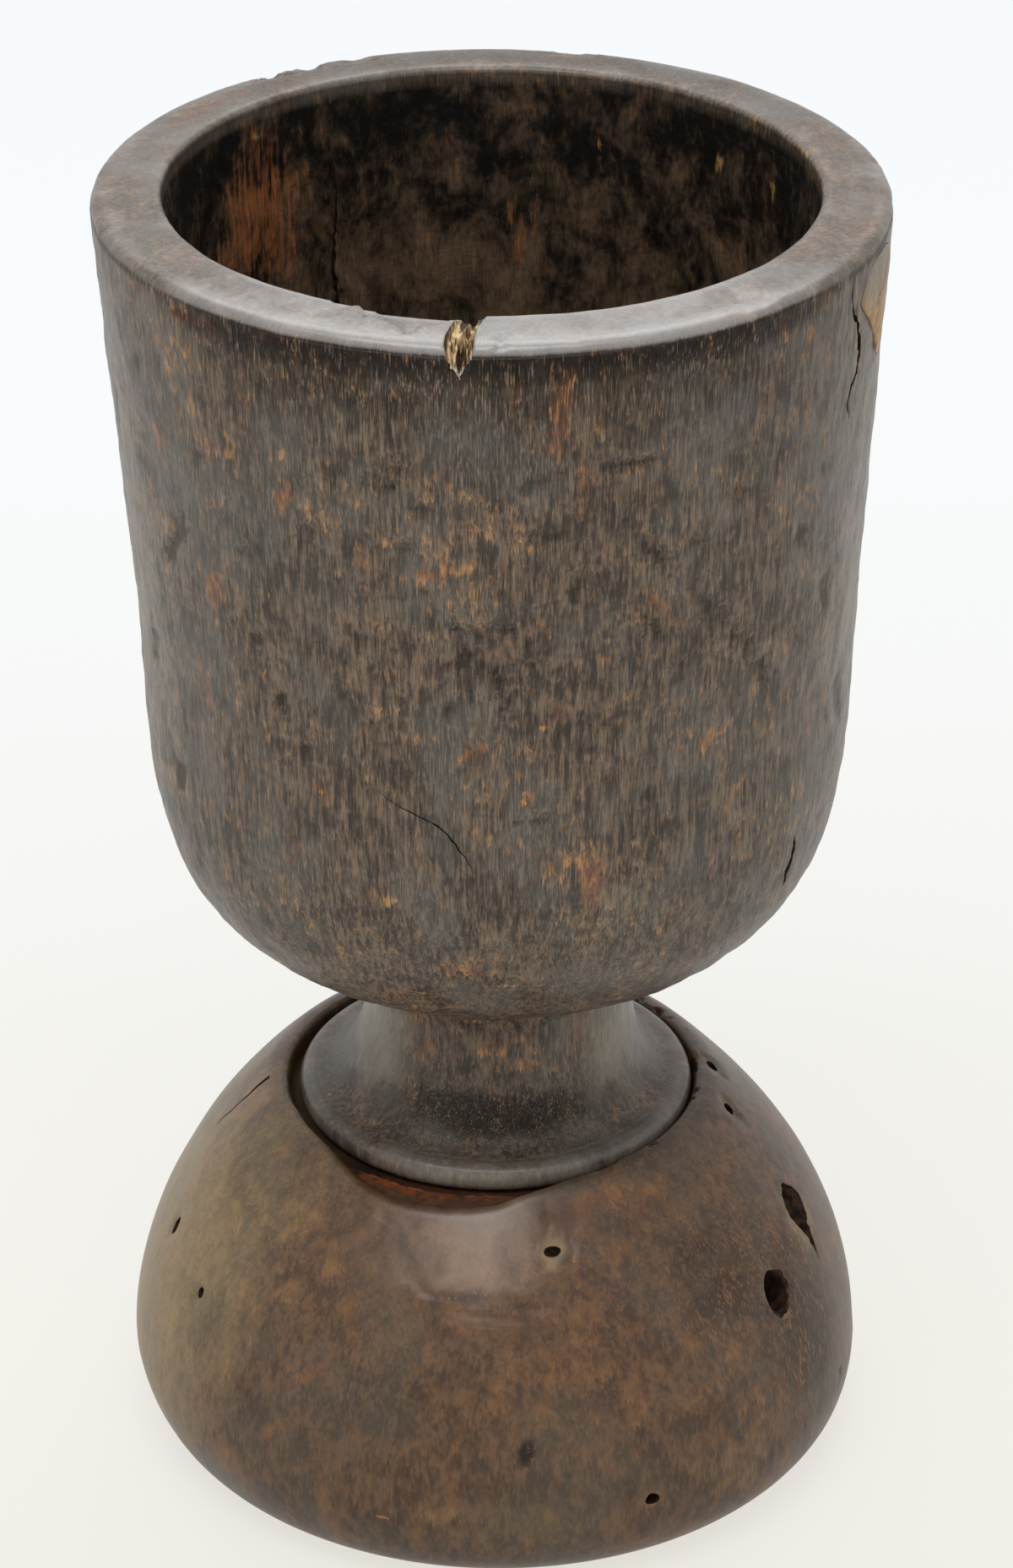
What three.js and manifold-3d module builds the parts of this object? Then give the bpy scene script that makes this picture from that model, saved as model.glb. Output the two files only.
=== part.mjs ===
// A turned wooden footed cup, in millimetres, +Z up. The front, with the chipped rim, faces -Y.
// The origin is the middle of the foot's flat underside.
//
// The bowl block has a deep hollow above and a coved waist, a thin collar and a round spigot
// below. The spigot stands in the socket of the domed foot block, and the collar sits in the
// foot's dished top. A small plug of filler mends the bowl's wall below the rim on the right.

import * as THREE from 'three';
import { mergeVertices } from 'three/addons/utils/BufferGeometryUtils.js';
import Module from 'manifold-3d';

const wasm = await Module();
wasm.setup();

// Foot block, which spreads a little past the rim, as both are turned from billets of one width
const footOverhang = 0.3;
const soleInset = 8.5;
const soleTurnInset = 1;
const soleTurnHeight = 1.8;
const footWidestHeight = 12.5;
const footSideHeight = 17.5;
const shoulderWidth = 14.8;
const shoulderDrop = 13.8;
const lipHeight = 61.4;
const lipWidth = 2.4;
const lipDrop = 0.4;
const grooveWidth = 1.7;
const grooveDepth = 3.8;

// Bowl block
const spigotRadius = 15;
const spigotLength = 33;
const spigotChamfer = 1.5;
const collarRadius = 32.1;
const collarThickness = 4.4;
const collarTopRadius = 30;
const waistRadius = 21.5;
const waistCoveHeight = 17;
const waistStraight = 1;
const undersideRadius = 28.5;
const undersideCoveHeight = 9.8;
const bellyHeight = 56.9;
const bellyTurnRise = 8.4;
const bellySideInset = 0.8;
const bellySideDrop = 30;
const bellyThickness = 8.5;
const wallHeight = 68.8;
const rimRadius = 60;
const wallFlare = 4.3;
const rimEdgeRound = 1.6;
const rimThickness = 10.6;
const mouthRound = 1.4;
const hollowDepth = 107;
const hollowTurnHeight = 26;
const hollowTurnRise = 7;
const hollowFloorRadius = 36;

// Filler plug, whose wedge outline stands on the bowl's wall
const fillerAngle = 73;
const fillerWidth = 14;
const fillerTopDrop = 5;
const fillerHeight = 17;
const fillerDepth = 2.4;

// Chip broken out across the front of the rim
const chipAngle = -5;
const chipWidth = 4.8;
const chipFloorWidth = 2.2;
const chipInnerDepth = 1.6;
const chipOuterDepth = 5.4;

// Open split low on the bowl's right side
const splitAngle = 57;
const splitRise = 27.9;
const splitLength = 9;
const splitWidth = 0.9;
const splitDepth = 2.5;

// Worm holes in the foot: angle round from the front, share of the way up to the lip, radius
// and depth
const wormHoles = [
  { angle: 57, up: 0.6, radius: 3.1, depth: 9 },
  { angle: 74, up: 0.67, radius: 1.8, depth: 6 },
  { angle: 81, up: 0.93, radius: 1.1, depth: 5 },
  { angle: 12, up: 0.88, radius: 1.4, depth: 6 },
  { angle: 25, up: 0.24, radius: 1.2, depth: 5 },
  { angle: -79, up: 0.62, radius: 0.9, depth: 4 },
  { angle: -61, up: 0.58, radius: 0.8, depth: 4 },
];

// Fit of the pieces, and the fineness of the round surfaces
const seatGap = 0.3;
const socketEndGap = 1;
const aroundSteps = 64;
const sweepSteps = 6;
const edgeSteps = 3;
const holeSides = 10;
const cutterOverrun = 2;

// Heights, each stacked on the one before
const seatHeight = lipHeight - grooveDepth;
const collarUnder = seatHeight + seatGap;
const collarTop = collarUnder + collarThickness;
const waistLow = collarTop + waistCoveHeight;
const waistHigh = waistLow + waistStraight;
const undersideHeight = waistHigh + undersideCoveHeight;
const bellyTop = undersideHeight + bellyHeight;
const rimTop = bellyTop + wallHeight + rimEdgeRound;
const hollowFloor = rimTop - hollowDepth;
const splitHeight = undersideHeight + splitRise;
const spigotFoot = collarUnder - spigotLength;
const socketFloor = spigotFoot - socketEndGap;

const bellyRadius = rimRadius - wallFlare;
const mouthRadius = rimRadius - rimThickness;
const hollowRadius = bellyRadius - bellyThickness;
const footRadius = rimRadius + footOverhang;
const soleRadius = footRadius - soleInset;
const socketRadius = spigotRadius + seatGap;
const grooveRadius = collarRadius + grooveWidth;
const lipRadius = grooveRadius + lipWidth;

const at = (radius, height) => new THREE.Vector2(radius, height);

// Adds a curve to a profile, from its last point by way of one or two control points.
function bend(profile, steps, ...points) {
  const Curve = points.length === 2 ? THREE.QuadraticBezierCurve : THREE.CubicBezierCurve;
  const curve = new Curve(profile.at(-1), ...points);
  profile.push(...curve.getPoints(steps).slice(1));
}

// Turns a profile about the upright axis.
function turned(profile) {
  return new THREE.LatheGeometry(profile, aroundSteps).rotateX(Math.PI / 2);
}

// Makes a closed solid, ready to cut, from a geometry.
function solid(geometry) {
  geometry.deleteAttribute('normal');
  geometry.deleteAttribute('uv');
  const merged = mergeVertices(geometry);
  const corners = merged.index.array;
  const kept = [];
  for (let i = 0; i < corners.length; i += 3) {
    const [a, b, c] = corners.slice(i, i + 3);
    if (a !== b && b !== c && c !== a) {
      kept.push(a, b, c);
    }
  }
  return new wasm.Manifold(new wasm.Mesh({
    numProp: 3,
    vertProperties: merged.attributes.position.array,
    triVerts: new Uint32Array(kept),
  }));
}

// Gives a cut solid back as a geometry.
function geometryOf(body) {
  const mesh = body.getMesh();
  const geometry = new THREE.BufferGeometry();
  geometry.setAttribute('position', new THREE.BufferAttribute(mesh.vertProperties, 3));
  geometry.setIndex(new THREE.BufferAttribute(mesh.triVerts, 1));
  return geometry;
}

// Moves a cutter made at the front, facing -Y, round to an angle; to the right is positive.
function movedTo(geometry, angle) {
  return geometry.rotateZ(THREE.MathUtils.degToRad(angle));
}

function bowlProfile() {
  const profile = [
    at(0, spigotFoot),
    at(spigotRadius - spigotChamfer, spigotFoot),
    at(spigotRadius, spigotFoot + spigotChamfer),
    at(spigotRadius, collarUnder),
  ];
  addCollar(profile);
  addWaist(profile);
  addOuterWall(profile);
  addHollow(profile);
  return profile;
}

// The collar's thin edge is rounded over from its flat underside to its top.
function addCollar(profile) {
  const middle = collarUnder + collarThickness / 2;
  profile.push(at(collarRadius - collarThickness / 2, collarUnder));
  bend(profile, edgeSteps, at(collarRadius, collarUnder), at(collarRadius, middle));
  bend(profile, edgeSteps, at(collarRadius, collarTop), at(collarTopRadius, collarTop));
}

// A quarter of an ellipse sweeps up from the collar to the waist, and a curve runs out again.
function addWaist(profile) {
  const coveWidth = collarTopRadius - waistRadius;
  for (let step = 1; step <= sweepSteps; step += 1) {
    const turn = (Math.PI / 2) * (step / sweepSteps);
    const height = waistLow - waistCoveHeight * Math.cos(turn);
    profile.push(at(collarTopRadius - coveWidth * Math.sin(turn), height));
  }
  profile.push(at(waistRadius, waistHigh));
  const coveTurn = at(waistRadius, undersideHeight - undersideCoveHeight / 3);
  bend(profile, edgeSteps + 1, coveTurn, at(undersideRadius, undersideHeight));
}

function addOuterWall(profile) {
  const lowTurn = at(bellyRadius, undersideHeight + bellyTurnRise);
  const highTurn = at(bellyRadius - bellySideInset, bellyTop - bellySideDrop);
  bend(profile, sweepSteps + 2, lowTurn, highTurn, at(bellyRadius, bellyTop));
  profile.push(at(rimRadius, rimTop - rimEdgeRound));
  bend(profile, edgeSteps, at(rimRadius, rimTop), at(rimRadius - rimEdgeRound, rimTop));
}

function addHollow(profile) {
  profile.push(at(mouthRadius + mouthRound, rimTop));
  bend(profile, edgeSteps, at(mouthRadius, rimTop), at(mouthRadius, rimTop - mouthRound));
  profile.push(at(hollowRadius, hollowFloor + hollowTurnHeight));
  const sideTurn = at(hollowRadius, hollowFloor + hollowTurnRise);
  const floorTurn = at(hollowFloorRadius, hollowFloor);
  bend(profile, sweepSteps, sideTurn, floorTurn, at(0, hollowFloor));
}

// The foot's dome turns in to a narrower flat sole, and its top is dished round the collar.
function footProfile() {
  const profile = [at(0, 0), at(soleRadius, 0)];
  const soleTurn = at(footRadius - soleTurnInset, soleTurnHeight);
  bend(profile, edgeSteps, soleTurn, at(footRadius, footWidestHeight));
  const sideTurn = at(footRadius, footWidestHeight + footSideHeight);
  const shoulderTurn = at(lipRadius + shoulderWidth, lipHeight - shoulderDrop);
  bend(profile, sweepSteps + 2, sideTurn, shoulderTurn, at(lipRadius, lipHeight));
  profile.push(
    at(grooveRadius + lipWidth / 3, lipHeight - lipDrop),
    at(grooveRadius - lipDrop, seatHeight),
    at(socketRadius, seatHeight),
    at(socketRadius, socketFloor),
    at(0, socketFloor),
  );
  return profile;
}

// The chip's floor slopes down from the mouth to the outside of the rim.
function chipCutter() {
  const run = rimThickness + cutterOverrun * 2;
  const slope = Math.atan2(chipOuterDepth - chipInnerDepth, rimThickness);
  const outline = new THREE.Shape();
  outline.moveTo(-chipFloorWidth / 2, 0);
  outline.lineTo(chipFloorWidth / 2, 0);
  outline.lineTo(chipWidth / 2, chipInnerDepth);
  outline.lineTo(chipWidth / 2, chipOuterDepth * 2);
  outline.lineTo(-chipWidth / 2, chipOuterDepth * 2);
  outline.lineTo(-chipWidth / 2, chipInnerDepth);
  outline.closePath();
  const geometry = new THREE.ExtrudeGeometry(outline, { depth: run, bevelEnabled: false });
  geometry.translate(0, 0, -run / 2);
  geometry.rotateX(Math.PI / 2 + slope);
  const floorHeight = rimTop - (chipInnerDepth + chipOuterDepth) / 2;
  geometry.translate(0, -(rimRadius + mouthRadius) / 2, floorHeight);
  return movedTo(geometry, chipAngle);
}

// A wedge with its point down, let into the wall and leaning as the wall does. The inset leaves
// a gap round the plug.
function fillerBlock(inset) {
  const half = fillerWidth / 2 - inset;
  const top = fillerHeight / 2 - inset;
  const outline = new THREE.Shape();
  outline.moveTo(-half, top - fillerHeight / 4);
  outline.lineTo(0, inset * 2 - fillerHeight / 2);
  outline.lineTo(half, top - fillerHeight / 4);
  outline.lineTo(half / 2, top);
  outline.lineTo(-half / 2, top);
  outline.closePath();
  const middle = rimTop - fillerTopDrop - fillerHeight / 2;
  const wall = outsideAt(bowlProfile(), middle);
  const geometry = new THREE.ExtrudeGeometry(outline, { depth: rimThickness, bevelEnabled: false });
  geometry.rotateX(Math.PI / 2 - wall.lean);
  geometry.translate(0, -(wall.radius - fillerDepth + inset), middle);
  return movedTo(geometry, fillerAngle);
}

// The radius of a profile's outside at a height, and how far the surface leans back there.
function outsideAt(profile, height) {
  const upper = profile.findIndex((point) => point.y > height);
  const [low, high] = [profile[upper - 1], profile[upper]];
  const part = (height - low.y) / (high.y - low.y);
  const radius = THREE.MathUtils.lerp(low.x, high.x, part);
  return { radius, lean: Math.atan2(low.x - high.x, high.y - low.y) };
}

function splitCutter() {
  const wall = outsideAt(bowlProfile(), splitHeight);
  const geometry = new THREE.BoxGeometry(splitWidth, splitDepth * 2, splitLength);
  geometry.translate(0, -wall.radius, splitHeight);
  return movedTo(geometry, splitAngle);
}

// A hole bored square to the dome's surface.
function wormCutter({ angle, up, radius, depth }) {
  const height = lipHeight * up;
  const dome = outsideAt(footProfile(), height);
  const geometry = new THREE.CylinderGeometry(radius, radius, depth * 2, holeSides);
  geometry.rotateX(-dome.lean);
  geometry.translate(0, -dome.radius, height);
  return movedTo(geometry, angle);
}

function withCuts(body, cutters) {
  return cutters.reduce((rest, cutter) => rest.subtract(solid(cutter)), body);
}

function piece(name, body, color, roughness) {
  const material = new THREE.MeshStandardMaterial({ color, roughness, metalness: 0 });
  const mesh = new THREE.Mesh(geometryOf(body), material);
  mesh.name = name;
  return mesh;
}

const wholeBowl = solid(turned(bowlProfile()));
const bowl = withCuts(wholeBowl, [chipCutter(), fillerBlock(0), splitCutter()]);
const foot = withCuts(solid(turned(footProfile())), wormHoles.map(wormCutter));
const filler = wholeBowl.intersect(solid(fillerBlock(seatGap)));

const cup = new THREE.Group();
cup.add(piece('bowl', bowl, 0x4a4038, 0.5));
cup.add(piece('foot', foot, 0x40291c, 0.4));
cup.add(piece('rim_filler', filler, 0x9a7440, 0.6));

export default cup;
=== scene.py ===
import itertools
import math

import bmesh
import bpy
import numpy as np
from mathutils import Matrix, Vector
from mathutils.kdtree import KDTree


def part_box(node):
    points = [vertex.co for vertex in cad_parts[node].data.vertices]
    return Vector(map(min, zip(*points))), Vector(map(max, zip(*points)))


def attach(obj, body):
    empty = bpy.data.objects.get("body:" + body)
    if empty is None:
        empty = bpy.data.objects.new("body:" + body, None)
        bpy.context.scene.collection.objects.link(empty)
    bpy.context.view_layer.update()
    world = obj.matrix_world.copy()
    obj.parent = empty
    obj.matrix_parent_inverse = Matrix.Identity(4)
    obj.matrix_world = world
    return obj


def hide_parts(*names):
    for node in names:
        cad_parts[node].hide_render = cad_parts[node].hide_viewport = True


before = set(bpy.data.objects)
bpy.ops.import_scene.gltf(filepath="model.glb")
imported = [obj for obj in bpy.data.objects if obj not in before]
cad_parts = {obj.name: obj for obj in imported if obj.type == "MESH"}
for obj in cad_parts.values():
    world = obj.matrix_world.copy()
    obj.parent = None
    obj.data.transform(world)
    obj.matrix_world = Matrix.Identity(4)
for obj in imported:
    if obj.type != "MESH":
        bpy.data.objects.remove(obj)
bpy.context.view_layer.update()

# An old turned wooden cup: the bowl block with its waist and collar, the domed foot block that
# it stands in, and a small plug of filler below the rim. Sizes in the dictionaries are in
# millimetres and degrees. An azimuth is 0 at the front, which faces -Y, and grows to the right.
mm = 0.001

print("cup: frame loaded")

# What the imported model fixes, in millimetres.
bowlLow, bowlHigh = (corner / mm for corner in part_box("bowl"))
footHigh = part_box("foot")[1] / mm
rimTop = bowlHigh.z
rimRadius = bowlHigh.x
spigotFoot = bowlLow.z
footRadius = footHigh.x
lipHeight = footHigh.z


# Colours are given as they look on a screen, from 0 to 255.
def tone(red, green, blue):
    shades = [channel / 255 for channel in (red, green, blue)]
    linear = [s / 12.92 if s <= 0.04045 else ((s + 0.055) / 1.055) ** 2.4 for s in shades]
    return (*linear, 1.0)


# A socket that can stand in a sum: each operator adds its Math node.
class Wire:
    def __init__(self, bench, socket):
        self.bench = bench
        self.socket = socket

    def math(self, operation, *terms):
        return self.bench.node("ShaderNodeMath", {"operation": operation}, terms)

    def __add__(self, other):
        return self.math("ADD", self, other)

    def __radd__(self, other):
        return self.math("ADD", other, self)

    def __sub__(self, other):
        return self.math("SUBTRACT", self, other)

    def __rsub__(self, other):
        return self.math("SUBTRACT", other, self)

    def __mul__(self, other):
        return self.math("MULTIPLY", self, other)

    def __rmul__(self, other):
        return self.math("MULTIPLY", other, self)

    def also(self, output):
        return Wire(self.bench, pickSocket(self.socket.node.outputs, output))


def pickSocket(sockets, key):
    usable = [socket for socket in sockets if socket.enabled]
    if isinstance(key, int):
        return usable[key]
    return next(socket for socket in usable if socket.name == key)


# One node tree on the bench, being wired.
class Bench:
    def __init__(self, tree):
        self.tree = tree
        tree.nodes.clear()

    # Adds any node: its settings come first, then the values or wires of its sockets.
    def node(self, kind, settings=None, sockets=None, output=0):
        made = self.tree.nodes.new(kind)
        for name, value in (settings or {}).items():
            setattr(made, name, value)
        given = sockets.items() if isinstance(sockets, dict) else enumerate(sockets or ())
        for key, value in given:
            socket = pickSocket(made.inputs, key)
            if isinstance(value, Wire):
                self.tree.links.new(value.socket, socket)
            else:
                socket.default_value = value
        if not made.outputs:
            return made
        return Wire(self, pickSocket(made.outputs, output))

    def mix(self, share, first, second, blend="MIX"):
        return self.node("ShaderNodeMix", {"data_type": "RGBA", "blend_type": blend},
                         {"Factor": share, "A": first, "B": second}, "Result")

    # 0 below low, 1 above high, and a smooth rise between them.
    def rise(self, value, low, high):
        return self.node("ShaderNodeMapRange", {"interpolation_type": "SMOOTHSTEP"},
                         {"Value": value, "From Min": low, "From Max": high})

    # Noise from 0 to 1 whose lumps are about 1 across.
    def noise(self, spot, detail=2.0, rough=0.5, bend=0.0):
        return self.node("ShaderNodeTexNoise", {},
                         {"Vector": spot, "Scale": 1.0, "Detail": detail, "Roughness": rough,
                          "Distortion": bend}, "Fac")

    # A place scaled so that 1 is so many millimetres each way, and then shifted.
    def scaled(self, place, sizes, shift=(0, 0, 0)):
        scale = tuple(1 / (size * mm) for size in sizes)
        return self.node("ShaderNodeMapping", {}, {"Vector": place, "Scale": scale, "Location": shift})

    # Noise whose lumps are so many millimetres across and along the grain.
    def lumps(self, place, across, along, detail=2.0, rough=0.5, bend=0.0, shift=(0, 0, 0)):
        return self.noise(self.scaled(place, (across, across, along), shift), detail, rough, bend)

    # The place in the object's own coordinates.
    def place(self):
        return self.node("ShaderNodeTexCoord", {}, {}, "Object")

    def axis(self, vector, name):
        return self.node("ShaderNodeSeparateXYZ", {}, [vector], name)

    def vector(self, operation, first, second):
        second = {"Scale": second} if operation == "SCALE" else {1: second}
        return self.node("ShaderNodeVectorMath", {"operation": operation}, {0: first, **second})

    def stored(self, name):
        return self.node("ShaderNodeAttribute", {"attribute_name": name}, {}, "Fac")

    def bump(self, strength, distance, height):
        return self.node("ShaderNodeBump", {},
                         {"Strength": strength, "Distance": distance, "Height": height})

    # Ends a material's tree with one skin.
    def skin(self, sockets):
        made = self.node("ShaderNodeBsdfPrincipled", {}, sockets)
        self.node("ShaderNodeOutputMaterial", {}, {"Surface": made})


def newMaterial(name):
    material = bpy.data.materials.new(name)
    material.use_nodes = True
    return material, Bench(material.node_tree)


def newObject(name, mesh):
    thing = bpy.data.objects.new(name, mesh)
    bpy.context.scene.collection.objects.link(thing)
    return thing


# Starts a geometry tree with named whole and real numbers as inputs. Gives its bench and what
# comes in.
def startTree(name, numbers):
    tree = bpy.data.node_groups.new(name, "GeometryNodeTree")

    def addSocket(label, way, kind):
        return tree.interface.new_socket(name=label, in_out=way, socket_type="NodeSocket" + kind)

    addSocket("Geometry", "INPUT", "Geometry")
    for label, value in numbers.items():
        addSocket(label, "INPUT", "Int" if isinstance(value, int) else "Float").default_value = value
    addSocket("wood", "INPUT", "Material")
    addSocket("Geometry", "OUTPUT", "Geometry")
    bench = Bench(tree)
    return bench, bench.node("NodeGroupInput", output="Geometry")


# Ends a geometry tree with real meshes of the tree's own wood.
def endTree(bench, given, geometry):
    real = bench.node("GeometryNodeRealizeInstances", {}, {"Geometry": geometry})
    finished = bench.node("GeometryNodeSetMaterial", {},
                          {"Geometry": real, "Material": given.also("wood")})
    bench.node("NodeGroupOutput", {}, {"Geometry": finished})
    return bench.tree


# Runs a tree on an object, with values by name, and leaves the plain mesh that comes out.
def applyTree(thing, tree, values):
    modifier = thing.modifiers.new(tree.name, "NODES")
    modifier.node_group = tree
    for item in tree.interface.items_tree:
        if item.name in values:
            modifier[item.identifier] = values[item.name]
    bakeModifiers(thing)


def bakeModifiers(thing):
    graph = bpy.context.evaluated_depsgraph_get()
    graph.update()
    plain = bpy.data.meshes.new_from_object(
        thing.evaluated_get(graph), preserve_all_data_layers=True, depsgraph=graph
    )
    thing.modifiers.clear()
    thing.data = plain


def pointsOf(mesh):
    flat = np.empty(len(mesh.vertices) * 3)
    mesh.vertices.foreach_get("co", flat)
    return flat.reshape(-1, 3)


def normalsOf(mesh):
    flat = np.empty(len(mesh.vertices) * 3)
    mesh.vertex_normals.foreach_get("vector", flat)
    return flat.reshape(-1, 3)


def movePoints(mesh, points):
    mesh.vertices.foreach_set("co", points.reshape(-1))
    mesh.update()


# Azimuth in degrees, radius and height in millimetres, of points in metres.
def aroundOf(points):
    azimuth = np.degrees(np.arctan2(points[:, 0], -points[:, 1]))
    return azimuth, np.hypot(points[:, 0], points[:, 1]) / mm, points[:, 2] / mm


def stepUp(value, low, high):
    part = np.clip((value - low) / (high - low), 0, 1)
    return part * part * (3 - 2 * part)


# Smooth noise from -1 to 1 for points in millimetres, with lumps of a given size.
def unevenness(points, size, seed):
    side = 32
    table = np.random.default_rng(seed).uniform(-1, 1, (side, side, side))
    cell = points / size
    low = np.floor(cell).astype(int)
    part = cell - low
    part = part * part * (3 - 2 * part)
    total = np.zeros(len(points))
    for corner in itertools.product((0, 1), repeat=3):
        index = (low + corner) % side
        weight = np.prod(np.where(corner, part, 1 - part), axis=1)
        total += weight * table[index[:, 0], index[:, 1], index[:, 2]]
    return total


# Noise in which lumps of two sizes meet, so that what it bends gets a ragged edge.
def raggedness(points, broad, fine, seed):
    return unevenness(points / mm, broad, seed) * 0.6 + unevenness(points / mm, fine, seed + 1) * 0.4


# A turned outline is a list of (radius, height) points. This one goes from a start along lines and
# curves, each given by a spacing and then its control points and end.
def traced(start, courses):
    outline = [start]
    for spacing, *points in courses:
        controls = np.array([outline[-1], *points], float)
        degree = len(controls) - 1
        length = np.linalg.norm(np.diff(controls, axis=0), axis=1).sum()
        count = max(1, round(length / spacing))
        for step in range(1, count + 1):
            t = step / count
            weights = [math.comb(degree, k) * (1 - t) ** (degree - k) * t**k for k in range(degree + 1)]
            outline.append(tuple(np.array(weights) @ controls))
    return outline


# The tree that turns an outline round the upright axis. Each point of the outline's chain holds
# a radius, a sideways drift off the axis and a height. Columns stand closer at the front.
def makeTurningTree():
    numbers = {"around": 64, "closeness": 0.2, "oval": 0.0, "ovalTurn": 0.0}
    bench, given = startTree("turnOnLathe", numbers)
    rings = bench.node("GeometryNodeAttributeDomainSize", {"component": "MESH"},
                       {"Geometry": given}, "Point Count")
    sheet = bench.node("GeometryNodeMeshGrid", {},
                       {"Size X": 1.0, "Size Y": 1.0, "Vertices X": given.also("around") + 1,
                        "Vertices Y": rings}, "Mesh")
    place = bench.node("GeometryNodeInputPosition")
    along = bench.axis(place, "X")
    ring = bench.node("ShaderNodeMath", {"operation": "ROUND"}, [(along.also("Y") + 0.5) * (rings - 1)])
    chain = bench.node("GeometryNodeSampleIndex", {"data_type": "FLOAT_VECTOR", "domain": "POINT"},
                       {"Geometry": given, "Value": place, "Index": ring}, "Value")
    radius = bench.axis(chain, "X")
    turn = along * math.tau
    azimuth = turn - given.also("closeness") * turn.math("SINE", turn)
    lobes = (azimuth - given.also("ovalTurn")) * 2
    reach = radius * (1 + given.also("oval") * lobes.math("COSINE", lobes))
    east = reach * azimuth.math("SINE", azimuth) + radius.also("Y")
    south = reach * azimuth.math("COSINE", azimuth)
    spot = bench.node("ShaderNodeCombineXYZ", {}, [east, south * -1, radius.also("Z")])
    turned = bench.node("GeometryNodeSetPosition", {}, {"Geometry": sheet, "Position": spot})
    closed = bench.node("GeometryNodeMergeByDistance", {}, {"Geometry": turned, "Distance": 1e-6})
    smooth = bench.node("GeometryNodeSetShadeSmooth", {}, {"Geometry": closed})
    return endTree(bench, given, smooth)


# The tree that ages a turned surface: broad dents, raised fibres along the grain, and scattered
# pits drawn out along the grain. The attribute "sound" is 0 where the surface is left alone.
def makeWeatherTree():
    depths = {"dentSize": 20.0, "dentDepth": 0.3, "hackSize": 7.0, "hackDepth": 0.2, "fibreWidth": 1.6,
              "fibreLength": 14.0, "fibreDepth": 0.08, "pitsPerSquareMetre": 1000.0, "pitRadius": 1.0,
              "pitDepth": 0.4, "pitStretch": 2.5}
    bench, given = startTree("weatherWood", {**depths, "seed": 1})
    size = {key: given.also(key) for key in depths}
    metres = bench.node("GeometryNodeInputPosition")
    place = bench.vector("SCALE", metres, 1 / mm)
    normal = bench.node("GeometryNodeInputNormal")
    sound = bench.node("GeometryNodeInputNamedAttribute", {"data_type": "FLOAT"},
                       {"Name": "sound"}, "Attribute")

    # The place in millimetres, counted in lumps of a size across and along the grain.
    def counted(across, along):
        lump = bench.node("ShaderNodeCombineXYZ", {}, [across, across, along])
        return bench.vector("DIVIDE", place, lump)

    def swell(across, along, depth, detail):
        return (bench.noise(counted(size[across], size[along]), detail) - 0.5) * size[depth]

    dents = swell("dentSize", "dentSize", "dentDepth", 1.0)
    hacks = swell("hackSize", "hackSize", "hackDepth", 3.0)
    fibres = swell("fibreWidth", "fibreLength", "fibreDepth", 2.0)

    # Pits: points scattered with a fixed seed, and a hollow round the nearest of them.
    scattered = bench.node("GeometryNodeDistributePointsOnFaces", {"distribute_method": "RANDOM"},
                           {"Mesh": given, "Density": size["pitsPerSquareMetre"],
                            "Seed": given.also("seed")}, "Points")
    drawn = counted(size["pitRadius"], size["pitRadius"] * size["pitStretch"])
    centres = bench.node("GeometryNodeSetPosition", {}, {"Geometry": scattered, "Position": drawn})
    away = bench.node("GeometryNodeProximity", {"target_element": "POINTS"},
                      {"Geometry": centres, "Sample Position": drawn}, "Distance")
    pit = 1 - bench.rise(away, 0.2, 1.0)
    relief = (dents + hacks + fibres - pit * size["pitDepth"]) * mm * sound
    push = bench.vector("SCALE", normal, relief)
    moved = bench.node("GeometryNodeSetPosition", {}, {"Geometry": given, "Offset": push})
    kept = bench.node("GeometryNodeStoreNamedAttribute", {"data_type": "FLOAT", "domain": "POINT"},
                      {"Geometry": moved, "Name": "pitted", "Value": pit * sound})
    return endTree(bench, given, kept)


turningTree = makeTurningTree()
weatherTree = makeWeatherTree()
print("cup: trees built")

# The foot block: a dome with a dished top round the collar. The drift is how far the turning
# stands off the axis, to the right, at each height.
footShape = {
    "soleInset": 8.5, "soleTurnInset": 1.0, "soleTurnHeight": 1.8, "widestHeight": 12.5,
    "sideHeight": 17.5, "shoulderWidth": 14.8, "shoulderDrop": 13.8, "lipWidth": 2.4, "lipDrop": 0.4,
    "lipRound": 2.2, "grooveWidth": 1.05, "grooveDepth": 3.8, "socketRadius": 15.3, "socketFloor": 23.9,
    "drift": [(0, 0.4), (6, 0.5), (15, -0.1), (40, 0.0), (48, -0.4), (55, -0.6), (62, -0.5)],
    "around": 520, "frontCloseness": 0.2, "oval": 0.002, "ovalTurn": 50,
}

# The bowl block, from the spigot that stands in the foot up to the rim and down the hollow.
bowlShape = {
    "seatGap": 0.3, "spigotRadius": 15, "spigotChamfer": 1.5,
    "collarRadius": 32.1, "collarThickness": 4.4, "collarTopRadius": 30,
    "waistRadius": 21.5, "coveHeight": 17, "waistStraight": 1,
    "undersideRadius": 28.5, "undersideCove": 9.8,
    "bellyHeight": 56.9, "bellyTurnRise": 8.4, "bellySideInset": 0.8, "bellySideDrop": 30,
    "wallFlare": 4.3, "wallThickness": 8.5, "rimThickness": 10.6, "rimRound": 2.6, "rimCrown": 0.4,
    "crownWidth": 6.0, "mouthRound": 1.4, "hollowDepth": 107, "hollowTurnHeight": 26,
    "hollowTurnRise": 7, "hollowFloorRadius": 36,
    "drift": [(58, 0.1), (66, 0.3), (80, 0.9), (92, -0.3), (105, 0.45), (150, 0.44), (185, -0.1),
              (217, -0.45)],
    "around": 424, "frontCloseness": 0.25, "oval": 0.0015, "ovalTurn": 70,
}

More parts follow.
